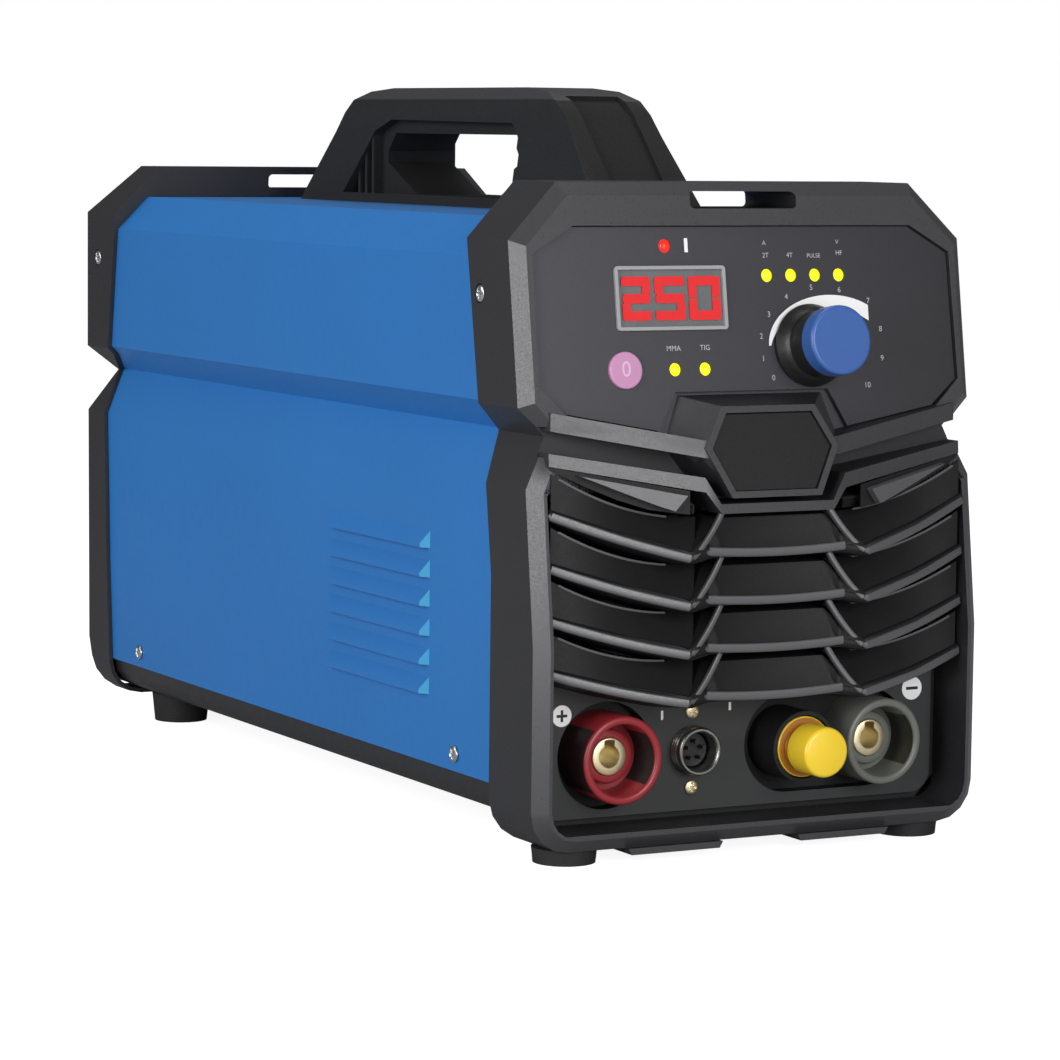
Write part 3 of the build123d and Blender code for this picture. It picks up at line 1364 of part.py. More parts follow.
with BuildPart() as heat_sinks:
    for low, high in sink_ranges:
        with BuildSketch(upright(board_half)):
            with Locations(((low + high) / 2, sink_top - 2.5)):
                Rectangle(high - low, 5.0)
            for fin in range(int((high - low - 2.0) / fin_pitch) + 1):
                with Locations((low + 1.0 + fin_pitch * fin, (rail_top + sink_top) / 2)):
                    Rectangle(2.0, sink_top - rail_top)
        extrude(amount=2 * board_half)
save(heat_sinks, "heat_sinks")

post_x = lower_half - 22.0
post_spots = [(x, y) for x in (-post_x, -22.0, 44.0, post_x) for y in (8.0 - board_half, board_half - 8.0)]
with BuildPart() as board_posts:
    with BuildSketch(Plane.XY.offset(sink_top)):
        with Locations(*post_spots):
            RegularPolygon(4.0, 6)
    extrude(amount=board_z - sink_top)
save(board_posts, "board_posts")

with BuildPart() as main_board:
    with BuildSketch(Plane.XY.offset(board_z)):
        with Locations((2.5, 0)):
            Rectangle(2 * lower_half - 25.0, 2 * board_half)
    extrude(amount=board_thickness)
save(main_board, "main_board")

with BuildPart() as capacitors:
    with BuildSketch(Plane.XY.offset(board_top)):
        with Locations((-28.0, 28.0)):
            with GridLocations(33.0, 33.0, 2, 2):
                Circle(15.0)
    extrude(amount=48.0)
    chamfer(capacitors.faces().sort_by(Axis.Z)[-4:].edges(), 1.5)
save(capacitors, "capacitors")

core_spot = (44.0, 28.0)
core_wide, core_high, core_deep = 66.0, 54.0, 36.0
leg_wide = 18.0
coil_half = 15.0
with BuildPart() as transformer_core:
    with BuildSketch(upright(core_spot[1] + core_deep / 2)):
        with Locations((core_spot[0], board_top + core_high / 2)):
            Rectangle(core_wide, core_high)
            with GridLocations(leg_wide + coil_half, 0, 2, 1):
                Rectangle(coil_half, core_high - 18.0, mode=Mode.SUBTRACT)
    extrude(amount=core_deep)
save(transformer_core, "transformer_core")

with BuildPart() as transformer_coil:
    with BuildSketch(Plane.XY.offset(board_top + 9.0 + fit_gap)):
        with Locations(core_spot):
            RectangleRounded(leg_wide + 2 * coil_half - 2 * fit_gap, core_deep + 2 * coil_half, 8.0)
            Rectangle(leg_wide + 2 * fit_gap, core_deep + 2 * fit_gap, mode=Mode.SUBTRACT)
    extrude(amount=core_high - 18.0 - 2 * fit_gap)
save(transformer_coil, "transformer_coil")

with BuildPart() as output_choke:
    with BuildSketch(Plane.XY.offset(board_top)):
        with Locations((core_spot[0], -45.0)):
            Circle(31.0)
            Circle(12.0, mode=Mode.SUBTRACT)
    extrude(amount=28.0)
    chamfer(output_choke.edges().filter_by(GeomType.CIRCLE), 4.0)
save(output_choke, "output_choke")

with BuildPart() as hf_igniter:
    with BuildSketch(Plane.XY.offset(board_top)):
        with Locations((-44.0, -40.0)):
            RectangleRounded(56.0, 44.0, 3.0)
    extrude(amount=40.0)
    with BuildSketch(Plane.XY.offset(board_top + 40.0)):
        with Locations((-44.0, -40.0)):
            with GridLocations(28.0, 0, 2, 1):
                Circle(5.0)
    extrude(amount=9.0)
save(hf_igniter, "hf_igniter")
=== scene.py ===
# %% [markdown]
# # A TIG welding machine, finished in Blender
#
# The machine is a steel sleeve between two moulded bezels, with a carrying handle on top.
# The construction comes ready made as a fixed frame of CAD pieces. This lesson gives them
# their finish: soft moulded edges, paint, grain, print, lamps, sockets and screws.
#
# The frame is loaded first.

# %% The fixed frame
import json
from math import cos, pi, radians, sin

import bmesh
import bpy
import numpy as np
from mathutils import Matrix, Vector

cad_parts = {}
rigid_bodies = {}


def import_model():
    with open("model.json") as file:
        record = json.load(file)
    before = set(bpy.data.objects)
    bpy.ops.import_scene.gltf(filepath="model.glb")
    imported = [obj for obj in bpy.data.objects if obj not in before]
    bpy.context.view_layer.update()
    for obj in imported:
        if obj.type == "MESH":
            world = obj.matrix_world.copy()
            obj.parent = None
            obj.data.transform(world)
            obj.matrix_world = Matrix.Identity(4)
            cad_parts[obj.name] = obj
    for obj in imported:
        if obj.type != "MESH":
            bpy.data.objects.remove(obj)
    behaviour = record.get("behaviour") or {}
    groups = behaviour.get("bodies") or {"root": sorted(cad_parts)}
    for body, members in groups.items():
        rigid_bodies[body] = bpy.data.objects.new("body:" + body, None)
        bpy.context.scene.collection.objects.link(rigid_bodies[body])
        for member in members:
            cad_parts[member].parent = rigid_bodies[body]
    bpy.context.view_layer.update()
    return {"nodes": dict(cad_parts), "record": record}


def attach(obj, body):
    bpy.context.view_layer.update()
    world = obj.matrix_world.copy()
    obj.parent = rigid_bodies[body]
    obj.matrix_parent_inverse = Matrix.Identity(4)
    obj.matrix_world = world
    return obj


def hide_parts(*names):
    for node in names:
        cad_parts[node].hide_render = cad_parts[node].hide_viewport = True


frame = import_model()
MM = 0.001
FRONT = -230.0              # the front rim, in millimetres

# %% [markdown]
# ## The camera
#
# A long lens from the left of the front, a little above the panel. Such a view is a matrix:
# turn about the upright axis, tip down, then roll about the line of sight. Writing the three
# turns one after another keeps each of them readable.

# %% Camera
camera_data = bpy.data.cameras.new("camera")
camera_data.lens = 133.77           # millimetres, on film 36 mm wide
camera_data.sensor_width = 36.0
camera_data.clip_end = 30.0         # metres
camera = bpy.data.objects.new("camera", camera_data)
bpy.context.scene.collection.objects.link(camera)
stand = Matrix.Translation((-0.79093, -1.52599, 0.281185))
turn = Matrix.Rotation(radians(-27.964), 4, "Z")        # towards the left of the front
tip = Matrix.Rotation(radians(90.0 - 5.867), 4, "X")    # about six degrees downwards
roll = Matrix.Rotation(radians(0.666), 4, "Z")
camera.matrix_world = stand @ turn @ tip @ roll
bpy.context.scene.camera = camera
print("camera at", tuple(round(v, 3) for v in camera.matrix_world.translation))

# %% [markdown]
# ## A small language for finishes
#
# A finish is a graph of nodes, and a graph is tedious to write node by node. The class below
# wraps one output socket. Adding or multiplying two of them adds the Math node that does it,
# so a mask can be written as the sum that it is. Every other node comes from one method.

# %% Sockets that take part in arithmetic
class Flow:
    """One output of a node tree. Sums, products and comparisons of flows become Math nodes."""

    def __init__(self, tree, socket=None):
        self.tree = tree
        self.socket = socket

    def node(self, kind, settings=None, inputs=None, output=0):
        """Add a node: its settings first, then the values or links of its sockets."""
        made = self.tree.nodes.new(kind)
        for name, value in (settings or {}).items():
            if name == "stops":
                ramp = made.color_ramp
                while len(ramp.elements) < len(value):
                    ramp.elements.new(0.5)
                for element, (place, shade) in zip(ramp.elements, value):
                    element.position = place
                    element.color = shade
            else:
                setattr(made, name, value)
        for name, value in (inputs or {}).items():
            if isinstance(value, Flow):
                self.tree.links.new(value.socket, made.inputs[name])
            else:
                made.inputs[name].default_value = value
        return Flow(self.tree, made.outputs[output])

    def maths(self, operation, *terms):
        """A Math node on numbers and flows."""
        return self.node("ShaderNodeMath", {"operation": operation}, dict(enumerate(terms)))

    def __add__(self, other):
        return self.maths("ADD", self, other)

    def __radd__(self, other):
        return self.maths("ADD", other, self)

    def __sub__(self, other):
        return self.maths("SUBTRACT", self, other)

    def __rsub__(self, other):
        return self.maths("SUBTRACT", other, self)

    def __mul__(self, other):
        return self.maths("MULTIPLY", self, other)

    def __lt__(self, other):
        return self.maths("LESS_THAN", self, other)


def tone(code, gain=1.0):
    """A colour written as six hex digits, as the linear red, green, blue and alpha of a socket."""
    shares = np.array([int(code[i:i + 2], 16) / 255.0 for i in (0, 2, 4)])
    linear = np.where(shares <= 0.04045, shares / 12.92, ((shares + 0.055) / 1.055) ** 2.4) * gain
    return (*linear.tolist(), 1.0)


def place(flow):
    """The place of a point on the object, in metres."""
    return flow.node("ShaderNodeTexCoord", output="Object")


CLOUD_LOW, CLOUD_HIGH = 0.3, 0.7        # the range that nearly all of the noise keeps to


def cloud(flow, scale, detail, where=None):
    """Soft noise between about 0.3 and 0.7, with blobs of about one over scale metres."""
    settings = {"noise_dimensions": "3D"}
    inputs = {"Vector": where or place(flow), "Scale": scale, "Detail": detail}
    return flow.node("ShaderNodeTexNoise", settings, inputs)


def stretched(flow, along):
    """Object coordinates multiplied by one factor for each axis."""
    inputs = {0: place(flow), 1: along}
    return flow.node("ShaderNodeVectorMath", {"operation": "MULTIPLY"}, inputs)


def between(flow, low, high, share):
    """A colour between two colours, by a share from 0 to 1."""
    settings = {"data_type": "RGBA"}
    return flow.node("ShaderNodeMix", settings, {"Factor": share, "A": low, "B": high}, "Result")


def ranged(flow, value, low, high, start, end):
    """A value stretched from the range low..high to start..end, and kept inside it."""
    inputs = {"Value": value, "From Min": low, "From Max": high, "To Min": start, "To Max": end}
    return flow.node("ShaderNodeMapRange", {"clamp": True}, inputs)


def gloss_between(flow, noise, smooth, rough):
    """Roughness that follows a noise from one value to another."""
    return ranged(flow, noise, CLOUD_LOW, CLOUD_HIGH, smooth, rough)


def satin_mark(flow):
    """The attribute satin: 1 on marked faces and 0 elsewhere; on most pieces the marked faces carry a
    painted highlight or painted shade, with their own gloss.
    """
    return flow.node("ShaderNodeAttribute", {"attribute_name": "satin"}, output="Fac")


def relief(flow, height, distance):
    """Bumps of a height from 0 to 1 that stand up to a distance in metres."""
    inputs = {"Height": height, "Distance": distance, "Strength": 1.0}
    return flow.node("ShaderNodeBump", None, inputs)


finishes = {}


def finish(name, varying, **constants):
    """Make a material. varying(flow) gives what changes over the surface; the rest is constant."""
    material = bpy.data.materials.new(name)
    material.use_nodes = True
    tree = material.node_tree
    shader = tree.nodes["Principled BSDF"]
    for socket, value in constants.items():
        shader.inputs[socket.replace("_", " ")].default_value = value
    for socket, value in varying(Flow(tree)).items():
        if isinstance(value, Flow):
            tree.links.new(value.socket, shader.inputs[socket])
        else:
            shader.inputs[socket].default_value = value
    finishes[name] = material


print("the finish language is ready")

# %% [markdown]
# ## Floor, backdrop and lamps
#
# A studio cove is white because light falls on it. Here the sky is plain white to the camera
# only: as a lamp and in mirrors it is dim, so that dark plastics stay dark. Two tall soft
# boxes, far to the left and in front, draw light lines along the satin edges. The floor glows
# a little for the camera and still takes the machine's shadow.

# %% Studio
def studio_world(sky_light, mirrored_light):
    """World light of one strength, dimmer still in mirrors, and plain white to the camera."""
    world = bpy.data.worlds.new("studio")
    world.use_nodes = True
    bpy.context.scene.world = world
    tree = world.node_tree
    tree.nodes.clear()
    flow = Flow(tree)
    rays = tree.nodes.new("ShaderNodeLightPath")
    seen = Flow(tree, rays.outputs["Is Camera Ray"])
    seen = seen.maths("MAXIMUM", seen, Flow(tree, rays.outputs["Is Transmission Ray"]))
    glossy = Flow(tree, rays.outputs["Is Glossy Ray"])
    strength = sky_light + seen * (1.0 - sky_light) + glossy * (mirrored_light - sky_light)
    light = flow.node("ShaderNodeBackground", None, {"Color": (1, 1, 1, 1), "Strength": strength})
    output = tree.nodes.new("ShaderNodeOutputWorld")
    tree.links.new(light.socket, output.inputs["Surface"])


def floor_finish():
    """White floor: most of what the camera sees is its own glow, and the rest is the light on it."""
    material = bpy.data.materials.new("studio_floor")
    material.use_nodes = True
    tree = material.node_tree
    tree.nodes.clear()
    flow = Flow(tree)
    rays = tree.nodes.new("ShaderNodeLightPath")
    seen = Flow(tree, rays.outputs["Is Camera Ray"])
    white = flow.node("ShaderNodeBsdfDiffuse", None, {"Color": (0.42, 0.42, 0.425, 1)})
    glow = flow.node("ShaderNodeEmission", None, {"Color": (1, 1, 1, 1), "Strength": seen * 0.9})
    both = flow.node("ShaderNodeAddShader", None, {0: white, 1: glow})
    output = tree.nodes.new("ShaderNodeOutputMaterial")
    tree.links.new(both.socket, output.inputs["Surface"])
    return material


def lamp(name, azimuth, distance, height, width, tall, radiance, target=(0.0, -0.1, 0.14)):
    """A soft box at an azimuth from the front, in degrees, that gives one radiance all over."""
    data = bpy.data.lights.new(name, "AREA")
    data.shape = "RECTANGLE"
    data.size = width
    data.size_y = tall
    data.energy = radiance * pi * width * tall
    lamp_object = bpy.data.objects.new(name, data)
    bearing = radians(azimuth)
    location = Vector((distance * sin(bearing), -distance * cos(bearing), height))
    lamp_object.location = location
    lamp_object.rotation_euler = (Vector(target) - location).to_track_quat("-Z", "Y").to_euler()
    bpy.context.scene.collection.objects.link(lamp_object)


bpy.context.scene.view_settings.view_transform = "Standard"
studio_world(sky_light=0.26, mirrored_light=0.1)
FAR = 9.0                   # half the side of the floor, in metres
floor_mesh = bpy.data.meshes.new("floor")
floor_mesh.from_pydata([(-FAR, -FAR, 0), (FAR, -FAR, 0), (FAR, FAR, 0), (-FAR, FAR, 0)], [], [(0, 1, 2, 3)])
floor = bpy.data.objects.new("floor", floor_mesh)
floor.data.materials.append(floor_finish())
bpy.context.scene.collection.objects.link(floor)
lamp("left_strip", -62.0, 2.0, 0.5, 0.75, 1.1, 8.0)
lamp("front_box", 1.0, 2.4, 0.62, 1.15, 1.24, 7.5)
lamp("side_box", -106.0, 2.4, 1.1, 1.2, 1.0, 4.4)
lamp("top_box", 160.0, 0.5, 2.2, 1.4, 1.4, 2.6)
print("lamps:", len(bpy.data.lights))

# %% [markdown]
# ## Moulded plastics
#
# Glass filled nylon and ABS leave a spark-eroded mould with a fine even grain. The grain is
# noise of about half a millimetre, used twice: as relief, and as small changes of gloss. Slow
# clouds keep a large face from looking like one flat colour, and corners rub a little lighter.

# %% Moulded plastics
def moulded(name, colour, roughness, grain=1500.0, depth_mm=0.03, rub=0.25, edge=None, **constants):
    """Moulded plastic of one colour, with grain, slow clouds and rubbed corners.

    edge gives the colour and roughness where the attribute satin is 1; on most pieces that colour is
    painted light or painted shade.
    """
    def varying(flow):
        dust = cloud(flow, grain, 3.0)
        slow = cloud(flow, 14.0, 3.0)
        corner = flow.node("ShaderNodeNewGeometry", output="Pointiness")
        rubbed = ranged(flow, corner, 0.52, 0.62, 0.0, rub) * cloud(flow, 90.0, 4.0)
        body = between(flow, tone(colour, 0.88), tone(colour, 1.14), slow)
        gloss = gloss_between(flow, dust, roughness - 0.06, roughness + 0.08)
        if edge:
            satin = satin_mark(flow)
            body = between(flow, body, tone(edge[0]), satin)
            gloss = gloss + satin * (edge[1] - roughness)
        return {
            "Base Color": between(flow, body, tone(colour, 3.2), rubbed),
            "Roughness": gloss,
            "Normal": relief(flow, dust, depth_mm * MM),
        }
    finish(name, varying, **constants)


# bezel: the lighter edge tone is a painted highlight on the front rim faces, with a real satin gloss
moulded("bezel_plastic", "232326", 0.5, 1500.0, 0.005, edge=("3c3c3f", 0.32))
# grille: its base is darker than the bezel's black plastic, as painted shade in the slats; the edge tone is
# the lighter socket deck
moulded("grille_plastic", "141415", 0.62, 1500.0, 0.015, edge=("333435", 0.5), Specular_IOR_Level=0.35)
# lips: a lighter grey than the grille, as a painted highlight on the lips, ribs and tapered faces
moulded("lip_plastic", "4a4a4c", 0.42, 1500.0, 0.003, 0.1, Specular_IOR_Level=0.9)
# handle: the edge tone is painted shade, near black, in the hand opening and on the front leg
moulded("handle_plastic", "333337", 0.5, 1300.0, 0.012, edge=("0e0e0f", 0.85))
moulded("black_nylon", "18181a", 0.42)
moulded("fan_black", "1a1a1c", 0.5, 1100.0)
moulded("knob_black", "1c1c1d", 0.4, 1800.0, 0.015)
moulded("knob_blue", "345a9d", 0.36, 1800.0, 0.01, 0.1, Coat_Weight=0.15)
moulded("button_mauve", "c088b0", 0.38, 1800.0, 0.01, 0.1)
# sockets: the edge tones are painted shadow inside the bores and on the outside left of the plus collar
moulded("socket_red", "8a262c", 0.32, 1600.0, 0.012, 0.1, edge=("171414", 0.5))
moulded("socket_grey", "63655f", 0.32, 1600.0, 0.012, 0.1, edge=("262723", 0.4))
moulded("cap_yellow", "e6c42e", 0.34, 1600.0, 0.01, 0.1, edge=("a4660c", 0.4), Coat_Weight=0.2)
moulded("rocker_red", "b8261f", 0.32, 1600.0, 0.01, 0.1, Coat_Weight=0.2)
moulded("foot_rubber", "1b1b1b", 0.72, 900.0, 0.05, 0.1)
moulded("hose_rubber", "2a2622", 0.6, 900.0, 0.04, 0.1)
moulded("display_frame", "9a9a9c", 0.35, 1600.0, 0.015, 0.1)
moulded("capacitor_sleeve", "1c2440", 0.3, 1200.0, 0.01, 0.1)
moulded("potting", "181b20", 0.5, 300.0, 0.1, 0.1)
# coil tape: kept dark, as painted shade inside the closed case
moulded("coil_tape", "6e5a22", 0.4, 500.0, 0.03, 0.1)
moulded("ferrite", "2c2d30", 0.62, 700.0, 0.04, 0.3)
print("finishes so far:", len(finishes))

# %% [markdown]
# ## Paint on steel
#
# Powder paint flows before it sets, and leaves the soft skin that painters call orange peel.
# It is slow relief with a little sharper relief on top. The colour drifts by a few percent.

# %% Powder paint
def powder_paint(name, colour, roughness, painted_glint="2a94c4"):
    """Baked powder paint with orange peel; painted_glint is a painted highlight colour on marked faces, as
    at the louvre ends.
    """
    def varying(flow):
        peel = cloud(flow, 900.0, 1.0) * 0.75 + cloud(flow, 2200.0, 2.0) * 0.25
        drift = cloud(flow, 9.0, 3.0)
        paint = between(flow, tone(colour, 0.93), tone(colour, 1.07), drift)
        return {
            "Base Color": between(flow, paint, tone(painted_glint), satin_mark(flow)),
            "Roughness": gloss_between(flow, cloud(flow, 160.0, 4.0), roughness - 0.03, roughness + 0.03),
            "Normal": relief(flow, peel, 0.012 * MM),
        }
    finish(name, varying, Coat_Weight=0.04)


powder_paint("cover_blue", "186bb2", 0.54)
powder_paint("pan_black", "1d1d1f", 0.45)
print("painted finishes: cover_blue, pan_black")

# %% [markdown]
# ## Bare metals
#
# Turned and plated parts show fine tool lines and small changes of gloss. Cast or drawn ones
# are duller. All of them are the same recipe with other colours.

# %% Metals
def metal(name, colour, roughness, tarnish=0.2, lines=2600.0):
    """Bare metal with fine scratches, and dull patches where it has tarnished."""
    def varying(flow):
        fine = cloud(flow, lines, 2.0, stretched(flow, (1.0, 0.12, 1.0)))
        patches = ranged(flow, cloud(flow, 120.0, 4.0), 0.42, 0.68, 0.0, tarnish)
        return {
            "Base Color": between(flow, tone(colour), tone(colour, 0.55), patches),
            "Roughness": gloss_between(flow, fine, roughness - 0.05, roughness + 0.1) + patches * 0.2,
            "Normal": relief(flow, fine, 0.006 * MM),
        }
    finish(name, varying, Metallic=1.0)


metal("nickel", "c9c9cc", 0.26)
metal("chrome", "d2d2d6", 0.14, 0.1)
metal("brass", "ecdfb8", 0.4, 0.25)
metal("thread_chrome", "a0a19a", 0.3, 0.2)
metal("copper", "c8794f", 0.3, 0.35)
metal("aluminium", "c2c4c8", 0.36, 0.15)
metal("valve_body", "b9b6ae", 0.34, 0.25)
metal("coil_copper", "b4603a", 0.32, 0.3)
print("finishes so far:", len(finishes))

# %% [markdown]
# ## Panel film, glass, lamps and circuit boards
#
# The control panel is a printed polycarbonate film with a matt, faintly pebbled face. The
# lamps glow through their own coloured resin, and the lit strokes of the display lie on a
# milky grey sheet.

# %% Film, glass and lamps
def film(name, colour):
    """Matt printed film: painted light that fades from the left to a darker right, and fine pebbles in
    gloss and relief.
    """
    def varying(flow):
        pebble = cloud(flow, 1100.0, 3.0)
        across = flow.node("ShaderNodeSeparateXYZ", {}, {"Vector": place(flow)}, output="X")
        # painted light: the film is lighter on the left and darker towards the right
        painted_light_left = ranged(flow, across, -0.09, 0.09, 1.0, 0.0)
        body = between(flow, tone(colour, 0.8), tone(colour, 1.25), pebble)
        return {
            "Base Color": between(flow, tone(colour, 0.45), body, painted_light_left),
            "Roughness": gloss_between(flow, pebble, 0.4, 0.52),
            "Normal": relief(flow, pebble, 0.02 * MM),
        }
    finish(name, varying)


def glowing(name, resin, light, strength, roughness=0.2):
    """Lit resin: its glow drifts slightly over the lens."""
    def varying(flow):
        drift = cloud(flow, 500.0, 2.0)
        return {
            "Base Color": between(flow, tone(resin, 0.8), tone(resin), drift),
            "Emission Color": between(flow, tone(light, 0.85), tone(light), drift),
            "Roughness": gloss_between(flow, drift, roughness - 0.05, roughness + 0.1),
        }
    finish(name, varying, Emission_Strength=strength)


def display_sheet(name, colour):
    """Milky grey display sheet, smoother where it has been wiped."""
    def varying(flow):
        smear = cloud(flow, 70.0, 4.0)
        return {
            "Base Color": between(flow, tone(colour, 0.97), tone(colour, 1.03), smear),
            "Roughness": gloss_between(flow, smear, 0.22, 0.34),
        }
    finish(name, varying)


def printed(name, colour):
    """Screen printed ink: solid, with a trace of the mesh that it was pressed through."""
    def varying(flow):
        weave = cloud(flow, 2400.0, 2.0)
        return {
            "Base Color": between(flow, tone(colour, 0.9), tone(colour), weave),
            "Roughness": gloss_between(flow, weave, 0.4, 0.55),
        }
    finish(name, varying)


def board(name):
    """Green circuit board: tracks as a brick pattern, and pale solder dots."""
    def varying(flow):
        where = place(flow)
        tracks = flow.node("ShaderNodeTexBrick", {"offset": 0.37}, {
            "Vector": where, "Scale": 90.0, "Mortar Size": 0.03, "Color1": tone("14512f"),
            "Color2": tone("0f4527"), "Mortar": tone("2b7a48")})
        dots = flow.node("ShaderNodeTexVoronoi", None, {"Vector": where, "Scale": 260.0}) < 0.18
        return {
            "Base Color": between(flow, tracks, tone("b9bcc0"), dots),
            "Metallic": dots * 0.9,
            "Roughness": 0.45 - dots * 0.15,
            "Normal": relief(flow, dots, 0.2 * MM),
        }
    finish(name, varying)


film("panel_film", "37373e")
glowing("red_lamp", "ff2a20", "ff2018", 1.3)
glowing("yellow_lamp", "f5ef20", "f2ee1c", 0.75)
display_sheet("display_glass", "66696b")
glowing("lit_stroke", "a80c12", "f2161c", 0.5, 0.6)
printed("white_ink", "f0f0f0")
printed("grey_ink", "b4b4ba")
printed("pale_ink", "dcb8d4")
printed("black_ink", "151516")
board("circuit_board")
slots = {entry["slot"] for entry in frame["record"]["materials"]}
print("slots without a finish:", sorted(slots - set(finishes)))

# %% [markdown]
# ## Finishing the CAD pieces
#
# Every CAD piece takes the finish of its material slot. CAD edges are knife sharp, and a
# moulded or folded edge never is, so the pieces that show get a rounded twin: a merged copy
# whose flat triangles are joined, with a Bevel modifier on its sharp edges and normals weighed
# by face area, so that flats stay flat. The twin replaces the CAD piece in the picture only.

# %% Finishes on CAD pieces
slot_of = {part["node"]: part["material_slot"] for part in frame["record"]["subparts"]}


def cad_object(node):
    """The Blender object of a CAD node."""
    return bpy.data.objects[node]


def body_of(node):
    """The body that carries a node."""
    return cad_object(node).parent.name.split(":")[1]


def wear(piece, material):
    """Give every material slot of a piece one finish."""
    if not piece.material_slots:
        piece.data.materials.append(material)
    for slot in piece.material_slots:
        slot.material = material


for node in frame["nodes"]:
    wear(cad_object(node), finishes[slot_of[node]])


WELD = 0.002 * MM           # points closer than this are one point
SHARP_EDGE = 28.0           # degrees between two faces from which their edge is rounded


def rounded(node, width_mm):
    """A twin of a CAD node with its sharp edges rounded to a width."""
    mesh = cad_object(node).data.copy()
    work = bmesh.new()
    work.from_mesh(mesh)
    bmesh.ops.remove_doubles(work, verts=work.verts, dist=WELD)
    bmesh.ops.dissolve_limit(work, angle_limit=radians(0.6), verts=work.verts, edges=work.edges)
    work.to_mesh(mesh)
    work.free()
    mesh.polygons.foreach_set("use_smooth", np.ones(len(mesh.polygons), dtype=bool))
    twin = bpy.data.objects.new(node + "_finished", mesh)
    bpy.context.scene.collection.objects.link(twin)
    bevel = twin.modifiers.new("rounded_edges", "BEVEL")
    bevel.width = width_mm * MM
    bevel.segments = 2
    bevel.limit_method = "ANGLE"
    bevel.angle_limit = radians(SHARP_EDGE)
    bevel.use_clamp_overlap = True
    weigh = twin.modifiers.new("flat_faces", "WEIGHTED_NORMAL")
    weigh.keep_sharp = True
    wear(twin, finishes[slot_of[node]])
    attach(twin, body_of(node))
    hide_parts(node)
    return twin


def frozen(twin):
    """Replace a twin's mesh by the outcome of its modifiers, so that its faces can be marked."""
    bpy.context.view_layer.update()
    graph = bpy.context.evaluated_depsgraph_get()
    mesh = bpy.data.meshes.new_from_object(twin.evaluated_get(graph), depsgraph=graph)
    twin.modifiers.clear()
    twin.data = mesh
    return mesh


def face_data(mesh):
    """Middles in millimetres and normals of the faces, as two arrays of rows x, y, z."""
    middles = np.zeros(3 * len(mesh.polygons))
    normals = np.zeros(3 * len(mesh.polygons))
    mesh.polygons.foreach_get("center", middles)
    mesh.polygons.foreach_get("normal", normals)
    return middles.reshape(-1, 3) / MM, normals.reshape(-1, 3)


def mark_satin(mesh, chosen):
    """Write 1 into the attribute satin on the chosen faces, and 0 on the others."""
    satin = mesh.attributes.new("satin", "FLOAT", "FACE")
    satin.data.foreach_set("value", chosen.astype(float))


edge_widths = {
    "front_bezel": 0.8, "rear_bezel": 0.8, "handle": 2.4,
    "badge_plate": 0.4, "display_bezel": 0.35, "steel_cover": 0.3, "knob_body": 0.4,
}
twins = {}
for node, width in edge_widths.items():
    twins[node] = rounded(node, width)
    print(node, "rounded by", width, "mm:", len(twins[node].data.polygons), "faces before rounding")

WAIST = 164.0               # height of the foot of the leaning panel
bezel_mesh = frozen(twins["front_bezel"])
middles, normals = face_data(bezel_mesh)
# front faces near the rim take a lighter, glossier tone: the gloss is real satin, the lighter colour a
# painted highlight
rim_depth = FRONT + 13.0 + np.clip(middles[:, 2] - WAIST, 0.0, None) * 0.2
mark_satin(bezel_mesh, (normals[:, 1] < -0.3) & (middles[:, 1] < rim_depth))

# the handle: painted shade, near black and matt, on the walls of its hand opening and the middle of its
# front leg
handle_mesh = frozen(twins["handle"])
middles, normals = face_data(handle_mesh)
inside = (abs(middles[:, 0]) < 24.3) & (abs(middles[:, 1] - 5.0) < 118.0) & (middles[:, 2] < 289.0)
mark_satin(handle_mesh, inside | ((normals[:, 1] < -0.3) & (abs(middles[:, 0]) < 12.5)))

# the cover: a painted cyan glint on the front ends of the louvres, on the left side only
cover_mesh = frozen(twins["steel_cover"])
middles, normals = face_data(cover_mesh)
louvre_ends = (middles[:, 1] > FRONT + 86.0) & (middles[:, 1] < FRONT + 101.0) & (middles[:, 2] < 135.0)
mark_satin(cover_mesh, louvre_ends & (middles[:, 0] < -95.0) & (normals[:, 1] < -0.1))
print("marked the satin faces of the bezel, the handle and the cover")

# %% [markdown]
# ## Surfaces from formulas
#
# The rest of the machine's finish is made of a few kinds of surface. Each is a grid of points
# from a formula: a turned profile, a bead swept along a path, a flat plate with a thickness,
# and a screw head whose height is a function of radius and angle.

# %% Surfaces
def tube(points):
    """Join a grid of points into quads: each row is a closed ring, and rings join to the next."""
    rows, columns = points.shape[:2]
    i, j = np.meshgrid(np.arange(rows - 1), np.arange(columns), indexing="ij")
    right = (j + 1) % columns
    corners = [i * columns + j, (i + 1) * columns + j, (i + 1) * columns + right, i * columns + right]
    return points.reshape(-1, 3), np.stack(corners, -1).reshape(-1, 4).tolist()


TURNED_STEPS = 72           # points around a turned part or a screw head


def around(steps):
    """Angles of a full turn."""
    return np.linspace(0.0, 2 * pi, steps, endpoint=False)


def turned(x, z, profile, bore=None):
    """Turn a profile of (radius r, distance y behind the front rim) about a line along Y.

    The point at angle t is (x + r cos t, y, z + r sin t). bore(t) is added to the radius of the
    points that carry a third number, those of a keyed bore.
    """
    turn = around(TURNED_STEPS)
    radius = np.array([[point[0]] for point in profile]) + 0.0 * turn
    if bore is not None:
        in_bore = np.array([[len(point) > 2] for point in profile])
        radius = radius + np.where(in_bore, bore(turn), 0.0)
    depth = np.array([[point[1]] for point in profile]) + 0.0 * turn
    points = np.stack([x + radius * np.cos(turn), FRONT + depth, z + radius * np.sin(turn)], -1)
    return tube(points)


